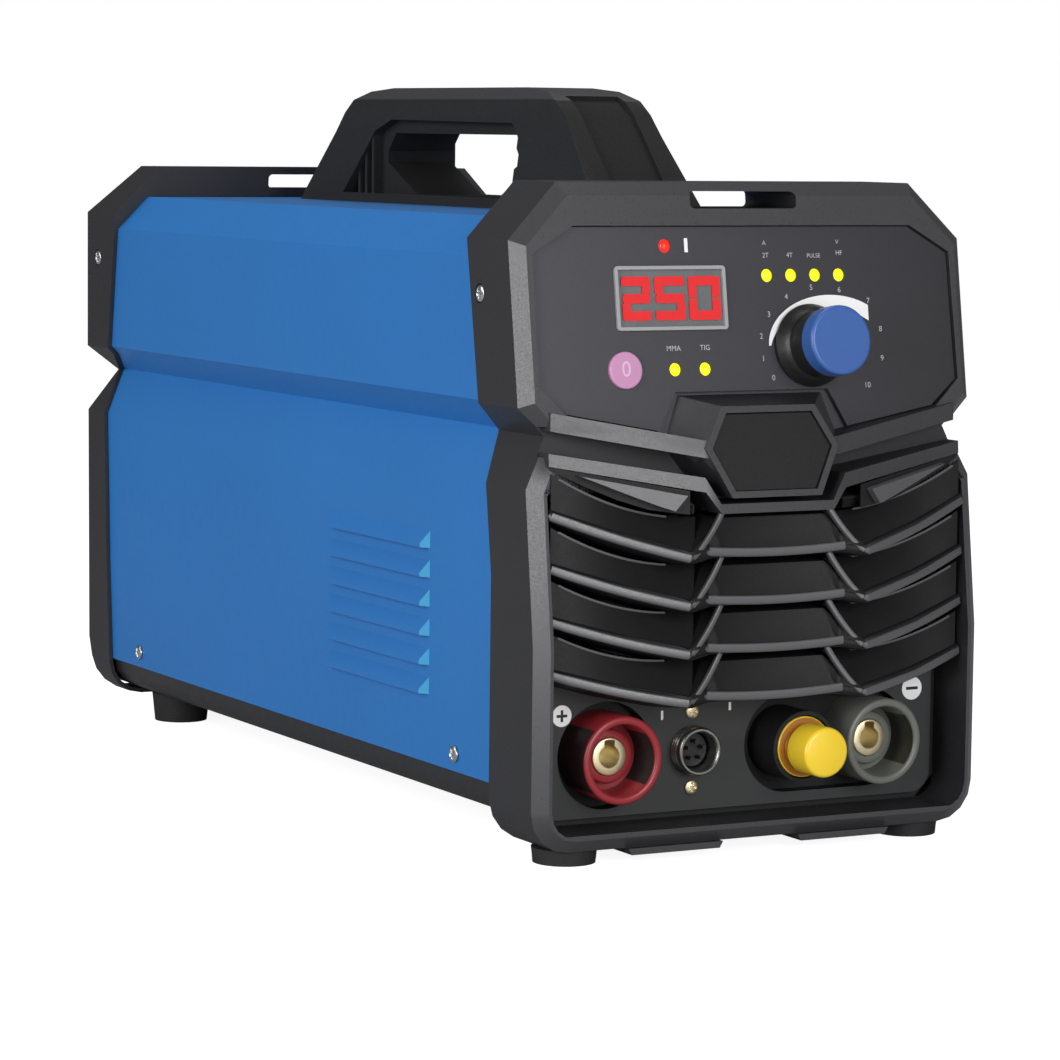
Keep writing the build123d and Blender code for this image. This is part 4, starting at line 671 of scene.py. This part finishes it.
def bead(path, half_width, half_depth, sides=20, draft=0.16):
    """Sweep a squarish oval along a path: path + a |cos t|^0.3 * forward + b |sin t|^0.8 * across.

    a is half_depth and b is half_width, and each power keeps the sign of its sine or cosine.
    across is square to the path and to Y. draft tips the front face upwards, as a moulding's
    draft does. The ends are rounded by a few rings that shrink as a semicircle does.
    """
    path = np.array(path, float)
    along = np.gradient(path, axis=0)
    along /= np.linalg.norm(along, axis=1)[:, None]
    across = np.cross(along, (0.0, 1.0, 0.0))
    across /= np.linalg.norm(across, axis=1)[:, None]
    forward = np.cross(across, along) - (0.0, 0.0, draft)
    end_rings = 4
    quarter = np.linspace(0.0, pi / 2, end_rings)
    grow = np.sin(quarter)
    back = half_width * (1.0 - np.cos(quarter))[::-1, None]
    path = np.concatenate([path[0] - along[0] * back, path[1:-1], path[-1] + along[-1] * back[::-1]])
    size = np.concatenate([grow, np.ones(len(path) - 2 * end_rings), grow[::-1]])
    last = len(along) - 1
    repeat = [0] * end_rings + list(range(1, last)) + [last] * end_rings
    turn = around(sides)
    depth = half_depth * np.sign(np.cos(turn)) * abs(np.cos(turn)) ** 0.3
    width = half_width * np.sign(np.sin(turn)) * abs(np.sin(turn)) ** 0.8
    ring = depth[None, :, None] * forward[repeat][:, None] + width[None, :, None] * across[repeat][:, None]
    return tube(path[:, None] + ring * size[:, None, None])


def plate(outline, thickness, place_point):
    """A flat plate: an outline of (u, v) and its copy raised by a thickness.

    place_point(u, v, height) gives the point in space, so a plate can lie on any plane.
    """
    count = len(outline)
    low = [place_point(u, v, 0.0) for u, v in outline]
    high = [place_point(u, v, thickness) for u, v in outline]
    walls = [[i, (i + 1) % count, count + (i + 1) % count, count + i] for i in range(count)]
    return np.array(low + high), [list(range(count, 2 * count))] + walls


def disc(u, v, radius):
    """Outline of a circle."""
    return [(u + radius * cos(turn), v + radius * sin(turn)) for turn in around(32)]


def bar(u, v, width, height):
    """Outline of an upright rectangle about its middle."""
    return [(u - width / 2, v - height / 2), (u + width / 2, v - height / 2),
            (u + width / 2, v + height / 2), (u - width / 2, v + height / 2)]


def screw_head(centre, out, radius, height):
    """A domed head with a cross recess, as a height over the polar grid of radius r and angle t.

    The dome is height * sqrt(1 - 0.8 (r / R)^2). The recess is a smooth cross: deep where the
    point is near one of the two arms and not past their ends.
    """
    arm, arm_width, depth, rings = 0.62, 0.16, 0.55, 18     # shares of the radius and the height
    out = np.array(out, float)
    side = np.cross(out, (0.0, 0.31, 0.95))
    side /= np.linalg.norm(side)
    other = np.cross(out, side)
    r, t = np.meshgrid(np.linspace(0.0, 1.0, rings), around(TURNED_STEPS), indexing="ij")
    u, v = r * np.cos(t), r * np.sin(t)
    level = np.sqrt(1.0 - 0.8 * r ** 2)
    level_arm = np.maximum(abs(u) / arm, abs(v) / arm_width)
    upright_arm = np.maximum(abs(v) / arm, abs(u) / arm_width)
    near = np.minimum(level_arm, upright_arm)
    level -= depth * np.clip((1.12 - near) / 0.25, 0.0, 1.0)
    points = (np.array(centre) + radius * (u[..., None] * side + v[..., None] * other)
              + height * level[..., None] * out)
    skirt = points[-1] - height * level[-1][:, None] * out
    return tube(np.concatenate([points, skirt[None]]))


def piece(name, shapes, slot, body, replaced=(), ink=None, sharp=32.0, satin=None):
    """Join shapes into one finished piece that rides on a body and takes a slot's finish."""
    points, faces, start = [], [], 0
    for some, sides in shapes:
        points.append(np.asarray(some))
        faces += [[start + i for i in side] for side in sides]
        start += len(some)
    mesh = bpy.data.meshes.new(name)
    mesh.from_pydata((np.concatenate(points) * MM).tolist(), [], faces)
    work = bmesh.new()
    work.from_mesh(mesh)
    bmesh.ops.remove_doubles(work, verts=work.verts, dist=WELD / 2)
    bmesh.ops.recalc_face_normals(work, faces=work.faces)
    work.to_mesh(mesh)
    work.free()
    mesh.polygons.foreach_set("use_smooth", np.ones(len(mesh.polygons), dtype=bool))
    mesh.set_sharp_from_angle(angle=radians(sharp))
    if satin is not None:
        mark_satin(mesh, satin(face_data(mesh)[0]))
    made = bpy.data.objects.new(name, mesh)
    bpy.context.scene.collection.objects.link(made)
    wear(made, finishes[ink or slot])
    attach(made, body)
    if replaced:
        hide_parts(*replaced)


print("the surface makers are ready")

# %% [markdown]
# ## The chevron grille
#
# The lips of the slats are rounded beads, smoother than the slats behind them and lighter as a
# painted highlight. The twin of the grille has its lips moved back, and a bead is swept along
# each: down the left wing, across the hooded centre and up the right wing. A thinner bead climbs
# from the inner end of each wing to the lip above, along the edge of the hood. Thin blades with a
# fine rib close the view between the wings, and a face of painted highlight fills the taper under
# the band. The grille's own plastic is darker than the bezel's, as painted shade.

# %% Grille
SLAT_TIP, WING_END, HOOD_END, RIDGE = 92.8, 39.0, 29.7, 24.2    # distances from the middle
WING_X = (SLAT_TIP, (SLAT_TIP + WING_END) / 2, WING_END)
ROWS, PITCH, TIP_PITCH = 4, 18.5, 20.1      # lips, and their distance inside and at the tips
LIP_BACK = 1.5                              # how far the twin's own lips are moved back
DECK_DEPTH = 18.0                           # of the socket deck behind the front rim
grille_mesh = frozen(rounded("front_grille", 0.4))
middles, normals = face_data(grille_mesh)
facing = normals[:, 1] < -0.9
# the socket deck keeps a lighter tone than the rest of the grille, whose darker base colour is painted
# shade
mark_satin(grille_mesh, facing & (abs(middles[:, 1] - FRONT - DECK_DEPTH) < 2.0) & (middles[:, 2] < 75.0))
lips = facing & (middles[:, 1] < FRONT + 4.0)
for v in sorted({v for i in np.nonzero(lips)[0] for v in grille_mesh.polygons[i].vertices}):
    grille_mesh.vertices[v].co.y += LIP_BACK * MM
for vertex in grille_mesh.vertices:
    x, y, z = abs(vertex.co.x) / MM, vertex.co.y / MM, vertex.co.z / MM
    if 32.0 < x < 81.0 and 131.0 + (x - 39.0) * 0.26 < z < 152.0 and y < FRONT + 1.6:
        vertex.co.y += 7.0 * MM     # the short slat under the band, behind its light face


def parabola(places, values, x):
    """Height at x of the parabola through three points."""
    return np.polyval(np.polyfit(places, values, 2), x)


def wing_path(row, side):
    """Lip of a wing: y and z are parabolas in x through its outer end, middle and inner end."""
    tip, wing = 134.9 - TIP_PITCH * row, 117.9 - PITCH * row
    x = np.linspace(SLAT_TIP - 0.6, WING_END + 0.9, 24)
    y = parabola(WING_X, (1.85, -6.75, -12.8), x)
    z = parabola(WING_X, (tip, (tip + wing) / 2 - 1.1, wing), x)
    return np.stack([side * x, FRONT + LIP_BACK + y, z], -1)


def hood_path(row):
    """Lip of a hooded centre: straight along X, with its ends a little raised."""
    x = np.linspace(-HOOD_END - 0.8, HOOD_END + 0.8, 24)
    z = 119.0 - PITCH * row + 1.1 * (x / HOOD_END) ** 2
    return np.stack([x, FRONT + LIP_BACK - 10.2 + 0.0 * x, z], -1)


def climb_path(row, side):
    """Edge of a hood, from the wing's inner end to the lip above.

    At a share s of the way, x has gone 0.82 s + 0.18 sin(s pi / 2) of its way and z s^1.15.
    """
    share = np.linspace(0.0, 1.0, 16)
    low = 118.3 - PITCH * row
    top = 134.8 if row == 0 else 136.2 - PITCH * row
    start = WING_END - 0.6
    x = start + (RIDGE - start) * (0.82 * share + 0.18 * np.sin(share * pi / 2))
    y = -10.9 + 3.0 * share
    z = low + (top - low) * share ** 1.15
    return np.stack([side * x, FRONT + y, z], -1)


beads = []
for row in range(ROWS):
    beads.append(bead(hood_path(row), 1.75, 1.4))
    for side in (-1, 1):
        beads.append(bead(wing_path(row, side), 1.75, 1.4))
        beads.append(bead(climb_path(row, side), 1.05, 1.0))
# the lips take the lighter finish, a painted highlight
piece("grille_lips", beads, "grille_plastic", "chassis", ink="lip_plastic")


def blade(row, side):
    """Blind behind a wing, and the path of the rib along its upper edge.

    Straight lines run from the lip of a row up to the back of the row above. The section is a
    thin four-sided strip, swept along x; y and z of its edges are parabolas in x.
    """
    thick = 0.9
    x = np.linspace(SLAT_TIP - 0.8, WING_END - 1.0, 20)
    tip, wing = 136.5 - TIP_PITCH * row, 119.5 - PITCH * row
    low_y = parabola(WING_X, (4.2, -4.2, -10.8), x)
    low_z = parabola(WING_X, (tip + 0.3, (tip + wing) / 2 - 0.4, wing + 0.7), x)
    back_x = np.linspace(SLAT_TIP - 0.8, 29.0, 20)
    back_y = 4.0 + 0.0 * back_x
    heights = (149.5 - TIP_PITCH * row, 138.6 - 19.3 * row, 133.1 - PITCH * row)
    back_z = parabola((90.0, 66.0, 42.0), heights, back_x)
    corners = [(x, low_y, low_z), (back_x, back_y, back_z),
               (back_x, back_y + thick, back_z), (x, low_y + thick, low_z)]
    strip = np.stack([np.stack([side * u, FRONT + y, z], -1) for u, y, z in corners], 1)
    points, faces = tube(strip)
    last = len(points) - 4
    return (points, faces + [[0, 1, 2, 3], [last, last + 1, last + 2, last + 3]]), strip[1:16, 1]


def under_band(side, outline, thickness, depth, start):
    """Upright plate under the band: depth behind the rim at x = start, and further forward inside."""
    turn_in = 0.2537            # millimetres forward for each millimetre inwards

    def place_point(x, z, height):
        return (side * x, FRONT + depth - (start - x) * turn_in - height, z)
    return plate(outline, thickness, place_point)


def top_blank(side):
    """Tapered face under the band, in the lighter lip finish: a painted highlight."""
    outline = [(82.3, 150.0), (65.9, 143.5), (51.9, 138.2), (46.0, 136.3), (41.4, 142.1)]
    return under_band(side, outline, 8.1, 6.3, 80.0)


def shade(side):
    """Dark plate behind the painted highlight, from the band down to the first rib: painted shade."""
    outline = [(92.6, 153.2), (91.0, 151.4), (78.0, 145.4), (66.0, 140.4), (54.0, 136.6),
               (38.5, 134.6), (38.5, 143.6)]
    return under_band(side, outline, 0.9, 6.4, 92.4)


blades, ribs = [shade(-1), shade(1)], []
for row in range(ROWS):
    for side in (-1, 1):
        strip, edge = blade(row, side)
        blades.append(strip)
        ribs.append(bead(edge - (0.0, 0.3, 0.3), 0.5, 0.45, sides=10))
piece("grille_blades", blades, "grille_plastic", "chassis")
# the ribs and the tapered faces are lighter than the grille: painted highlight
piece("grille_ribs", ribs + [top_blank(-1), top_blank(1)], "grille_plastic", "chassis", ink="lip_plastic")
print("beads on the grille:", len(beads), "and blades behind the wings:", len(blades))

# %% [markdown]
# ## Panel: display digits, dial scale and small marks
#
# The panel leans back, so everything printed on it is drawn in its own plane: x to the right,
# and z as the true height of the point. A seven stroke digit is a list of bars.

# %% Panel print
LEAN = radians(8.65)
PANEL_FOOT = (FRONT + 6.8, WAIST)       # place of the leaning face at the waist: y and z
PANEL_SUNK = 2.0                        # the panel lies this far behind that face
INK = 0.06                              # thickness of print


def on_panel(raised):
    """Placing function for plates that lie on the panel, raised by some millimetres."""
    def place_point(x, z, height):
        out = raised + height - PANEL_SUNK
        along = (z - PANEL_FOOT[1] - out * sin(LEAN)) / cos(LEAN)
        return (x, PANEL_FOOT[0] + along * sin(LEAN) - out * cos(LEAN), z)
    return place_point


def on_deck(x, z, height):
    """Placing function for plates that lie on the socket deck."""
    return (x, FRONT + DECK_DEPTH - height, z)


STROKES = {"2": "abged", "5": "afgcd", "0": "abcdef"}


def digit(sign, x, z, width, height, stroke, place_point):
    """Bars a to g of a seven stroke digit, from the top clockwise, with cut outer corners."""
    w, h, s, gap, cut = width / 2, height / 2, stroke / 2, 0.25, 0.9
    top = [(-w, h - 2 * s), (w, h - 2 * s), (w, h - cut), (w - cut, h), (cut - w, h), (-w, h - cut)]
    low = s if "g" in STROKES[sign] else gap
    middle = [(-w, 0.0), (cut - w, -s), (w - cut, -s), (w, 0.0), (w - cut, s), (cut - w, s)]
    right = [(w - 2 * s, low), (w, low), (w, h - 2 * s), (w - 2 * s, h - 2 * s)]
    places = {
        "a": top, "g": middle, "d": [(u, -v) for u, v in top],
        "b": right, "c": [(u, -v) for u, v in right],
        "f": [(-u, v) for u, v in right], "e": [(-u, -v) for u, v in right],
    }
    return [plate([(x + u, z + v) for u, v in places[name]], 0.1, place_point) for name in STROKES[sign]]


window_front = on_panel(0.42)
strokes = []
for sign, x, width in (("2", -49.4, 12.6), ("5", -34.6, 13.2), ("0", -19.2, 14.0)):
    strokes += digit(sign, x, 215.7, width, 16.8, 3.6, window_front)
piece("display_digits", strokes, "red_lamp", "chassis", ink="lit_stroke")

film_face = on_panel(0.0)


def lettering(text, x, z, height, place_point):
    """Letters of Blender's own font as flat plates, centred on a point."""
    curve = bpy.data.curves.new("letters", "FONT")
    curve.body = text
    curve.size = height * 1.38
    curve.align_x = "CENTER"
    curve.align_y = "CENTER"
    holder = bpy.data.objects.new("letters", curve)
    mesh = bpy.data.meshes.new_from_object(holder)
    points = [place_point(x + v.co.x, z + v.co.y, INK) for v in mesh.vertices]
    faces = [list(face.vertices) for face in mesh.polygons]
    bpy.data.objects.remove(holder)
    bpy.data.meshes.remove(mesh)
    bpy.data.curves.remove(curve)
    return np.array(points), faces


def crescent(place_point):
    """White crescent over the dial, between two ellipses and cut upright at its right end."""
    steps, cut = 48, 55.4
    share = np.linspace(0.0, 1.0, steps)
    outer_end, inner_end = np.arccos((cut - 37.6) / 28.8), np.arccos((cut - 36.4) / 27.0)
    outer = [(37.6 + 28.8 * cos(a), 197.0 + 19.3 * sin(a)) for a in pi + (outer_end - pi) * share]
    inner = [(36.4 + 27.0 * cos(a), 194.0 + 17.0 * sin(a)) for a in 2.97 + (inner_end - 2.97) * share]
    points = [place_point(x, z, INK) for x, z in outer + inner]
    return np.array(points), [[i, i + 1, steps + i + 1, steps + i] for i in range(steps - 1)]


marks = [crescent(film_face), plate(bar(-25.9, 235.9, 1.5, 5.4), INK, film_face)]
piece("panel_print", marks, "panel_film", "chassis", ink="white_ink")
faint = []
for count in range(11):
    angle = radians(214.0 - 20.5 * count - 0.55 * count ** 2)
    reach = 1.09 if count == 7 else 1.0         # clear of the crescent's cut end
    x, z = 33.4 + 28.2 * reach * cos(angle), 197.0 + 22.4 * reach * sin(angle)
    faint.append(lettering(str(count), x, z, 2.2, film_face))
labels = [
    ("2T", 9.6, 231.8, 1.9), ("4T", 20.6, 231.8, 1.9), ("PULSE", 31.6, 231.6, 1.7),
    ("HF", 43.4, 232.6, 1.9), ("A", 9.2, 236.6, 1.8), ("V", 42.8, 236.9, 1.8),
    ("MMA", -34.1, 196.5, 2.1), ("TIG", -20.1, 196.6, 2.1),
]
faint += [lettering(text, x, z, height, film_face) for text, x, z, height in labels]
piece("panel_labels", faint, "panel_film", "chassis", ink="grey_ink")
piece("button_mark", [lettering("0", -56.2, 188.9, 6.0, on_panel(1.55))], "button_mauve",
      body_of("mode_button"), ink="pale_ink")
print("digits, dial scale and labels are on the panel")

# %% [markdown]
# ## Marks on the deck
#
# White discs carry the plus and minus signs beside the sockets, and two small strokes mark the
# gas and the torch connectors.

# %% Deck marks
PLUS, MINUS, DISC = (-78.6, 56.0), (81.3, 57.8), 0.1     # places of the discs, and their thickness
discs = [plate(disc(*PLUS, 4.2), DISC, on_deck), plate(disc(*MINUS, 4.7), DISC, on_deck),
         plate(bar(-34.3, 53.7, 1.0, 3.6), 0.08, on_deck), plate(bar(-3.7, 55.5, 1.0, 3.2), 0.08, on_deck)]
piece("deck_discs", discs, "grille_plastic", "chassis", ink="white_ink")


def on_disc(x, z, height):
    """Placing function for signs on top of the discs."""
    return on_deck(x, z, DISC + height)


signs = [plate(bar(*PLUS, 4.6, 1.1), 0.05, on_disc), plate(bar(*PLUS, 1.1, 4.6), 0.06, on_disc),
         plate(bar(*MINUS, 5.6, 1.2), 0.05, on_disc)]
piece("deck_signs", signs, "grille_plastic", "chassis", ink="black_ink")

# %% [markdown]
# ## Sockets, inserts, torch connector and dust cap
#
# These are turned parts, so each is one profile turned about its axis. The brass inserts have
# a bore with a key slot: the radius of the bore is larger near the top.

# %% Turned parts
SOCKET_X, SOCKET_Z, PLUG_X, GAS_X = 59.3, 39.5, -21.0, 23.0


def key_slot(turn):
    """Extra radius of a keyed bore: 2.2 mm within about 24 degrees of straight up."""
    away = abs((turn - pi / 2 + pi) % (2 * pi) - pi)
    return 2.2 * np.clip((radians(27.0) - away) / radians(5.0), 0.0, 1.0)


def shaded(side):
    """Faces of a collar that lie in its own shadow: the right of its bore, and the outside left."""
    def chosen(middles):
        x, z, deep = middles[:, 0] - side * SOCKET_X, middles[:, 2] - SOCKET_Z, middles[:, 1] - FRONT
        angle = np.arctan2(z, x)
        radius = np.hypot(x, z)
        bore = (radius > 13.0) & (radius < 14.3) & (deep > 6.0) & (deep < 19.6) & (abs(angle) < 0.8)
        outside = (radius > 16.9) & (deep > 5.0) & (abs(angle) > 2.35)
        return bore | outside if side < 0 else bore
    return chosen


collar = [(7.6, 40.0), (12.8, 40.0), (12.8, 25.0), (17.2, 25.0), (17.2, 4.3), (16.9, 3.7),
          (16.3, 3.4), (14.9, 3.4), (14.3, 3.7), (14.0, 4.3), (13.6, 19.5), (10.9, 19.5),
          (10.7, 16.4), (10.4, 15.8), (9.8, 15.5), (7.7, 15.5), (7.6, 16.0), (7.6, 40.0)]
insert = [(0.0, 42.0), (7.5, 42.0), (7.5, 15.3), (7.2, 14.8), (6.8, 14.6), (4.5, 14.6, 1),
          (4.1, 15.1, 1), (4.1, 30.0, 1), (0.0, 30.0)]
for name, side in (("positive", -1), ("negative", 1)):
    piece(name + "_collar", [turned(side * SOCKET_X, SOCKET_Z, collar)], slot_of[name + "_socket"],
          "chassis", (name + "_socket",), sharp=50.0, satin=shaded(side))
    piece(name + "_insert_face", [turned(side * SOCKET_X, SOCKET_Z, insert, key_slot)], "brass",
          "chassis", (name + "_insert",))


def cap_groove(middles):
    """Faces of the dust cap between its flange and its grip."""
    return (middles[:, 1] > FRONT + 1.6) & (middles[:, 1] < FRONT + 5.15)


cap_profile = [(6.2, 8.0), (11.6, 8.0), (12.0, 7.6), (12.0, 5.6), (11.6, 5.2), (9.0, 4.9),
               (8.7, 4.6), (8.7, 2.4), (9.0, 2.1), (9.7, 1.9), (10.0, 1.5), (9.9, -10.2),
               (9.6, -10.9), (9.1, -11.35), (8.4, -11.6), (0.0, -11.6)]
piece("dust_cap", [turned(GAS_X, SOCKET_Z, cap_profile)], "cap_yellow",
      "gas_outlet_cap", ("gas_outlet_cap",), satin=cap_groove)
thread = [(7.4, 31.5), (7.4, 12.4), (7.6, 11.3), (8.2, 10.6), (8.9, 10.6), (9.4, 11.1), (9.6, 12.0)]
for groove in range(3):
    start = 12.8 + 1.6 * groove
    thread += [(9.6, start), (9.1, start + 0.5), (9.6, start + 1.0)]
piece("torch_ring", [turned(PLUG_X, SOCKET_Z, thread + [(9.6, 31.5), (7.4, 31.5)])], "chrome",
      "chassis", ("torch_socket",), ink="thread_chrome", sharp=40.0)
print("sockets, inserts, dust cap and torch ring are turned")

# %% [markdown]
# ## Screws
#
# The heads of the bezel, cover and torch screws are low domes with a cross recess, in place of the plain
# CAD heads.

# %% Screws
def islands(node):
    """Boxes of the separate solids of a CAD node, in millimetres, as rows of low and high corners."""
    mesh = cad_object(node).data
    work = bmesh.new()
    work.from_mesh(mesh)
    bmesh.ops.remove_doubles(work, verts=work.verts, dist=WELD)
    boxes, seen = [], set()
    for start in work.verts:
        if start in seen:
            continue
        group, queue = [], [start]
        seen.add(start)
        while queue:
            vertex = queue.pop()
            group.append(vertex.co / MM)
            for edge in vertex.link_edges:
                other = edge.other_vert(vertex)
                if other not in seen:
                    seen.add(other)
                    queue.append(other)
        group = np.array(group)
        boxes.append((group.min(0), group.max(0)))
    work.free()
    return boxes


def heads(node, out_of, radius, height, ink=None):
    """Domed heads for the screws of a node; out_of(low, high) gives the outer end and its direction."""
    made = []
    for low, high in islands(node):
        end, out = out_of(low, high)
        made.append(screw_head(np.array(end) - height * np.array(out), out, radius, height))
    piece(node + "_heads", made, slot_of[node], "chassis", (node,), ink=ink, sharp=60.0)
    return len(made)


def sideways(low, high):
    """Outer end of a screw along X."""
    side = 1.0 if low[0] + high[0] > 0 else -1.0
    x = high[0] if side > 0 else low[0]
    return (x, (low[1] + high[1]) / 2, (low[2] + high[2]) / 2), (side, 0.0, 0.0)


def forwards(low, high):
    """Outer end of a screw that faces the front."""
    return ((low[0] + high[0]) / 2, low[1], (low[2] + high[2]) / 2), (0.0, -1.0, 0.0)


print("bezel screws:", heads("bezel_screws", sideways, 3.3, 1.3))
print("cover screws:", heads("cover_screws", sideways, 3.3, 1.3))
print("torch screws:", heads("torch_screws", forwards, 2.8, 1.3, "brass"))
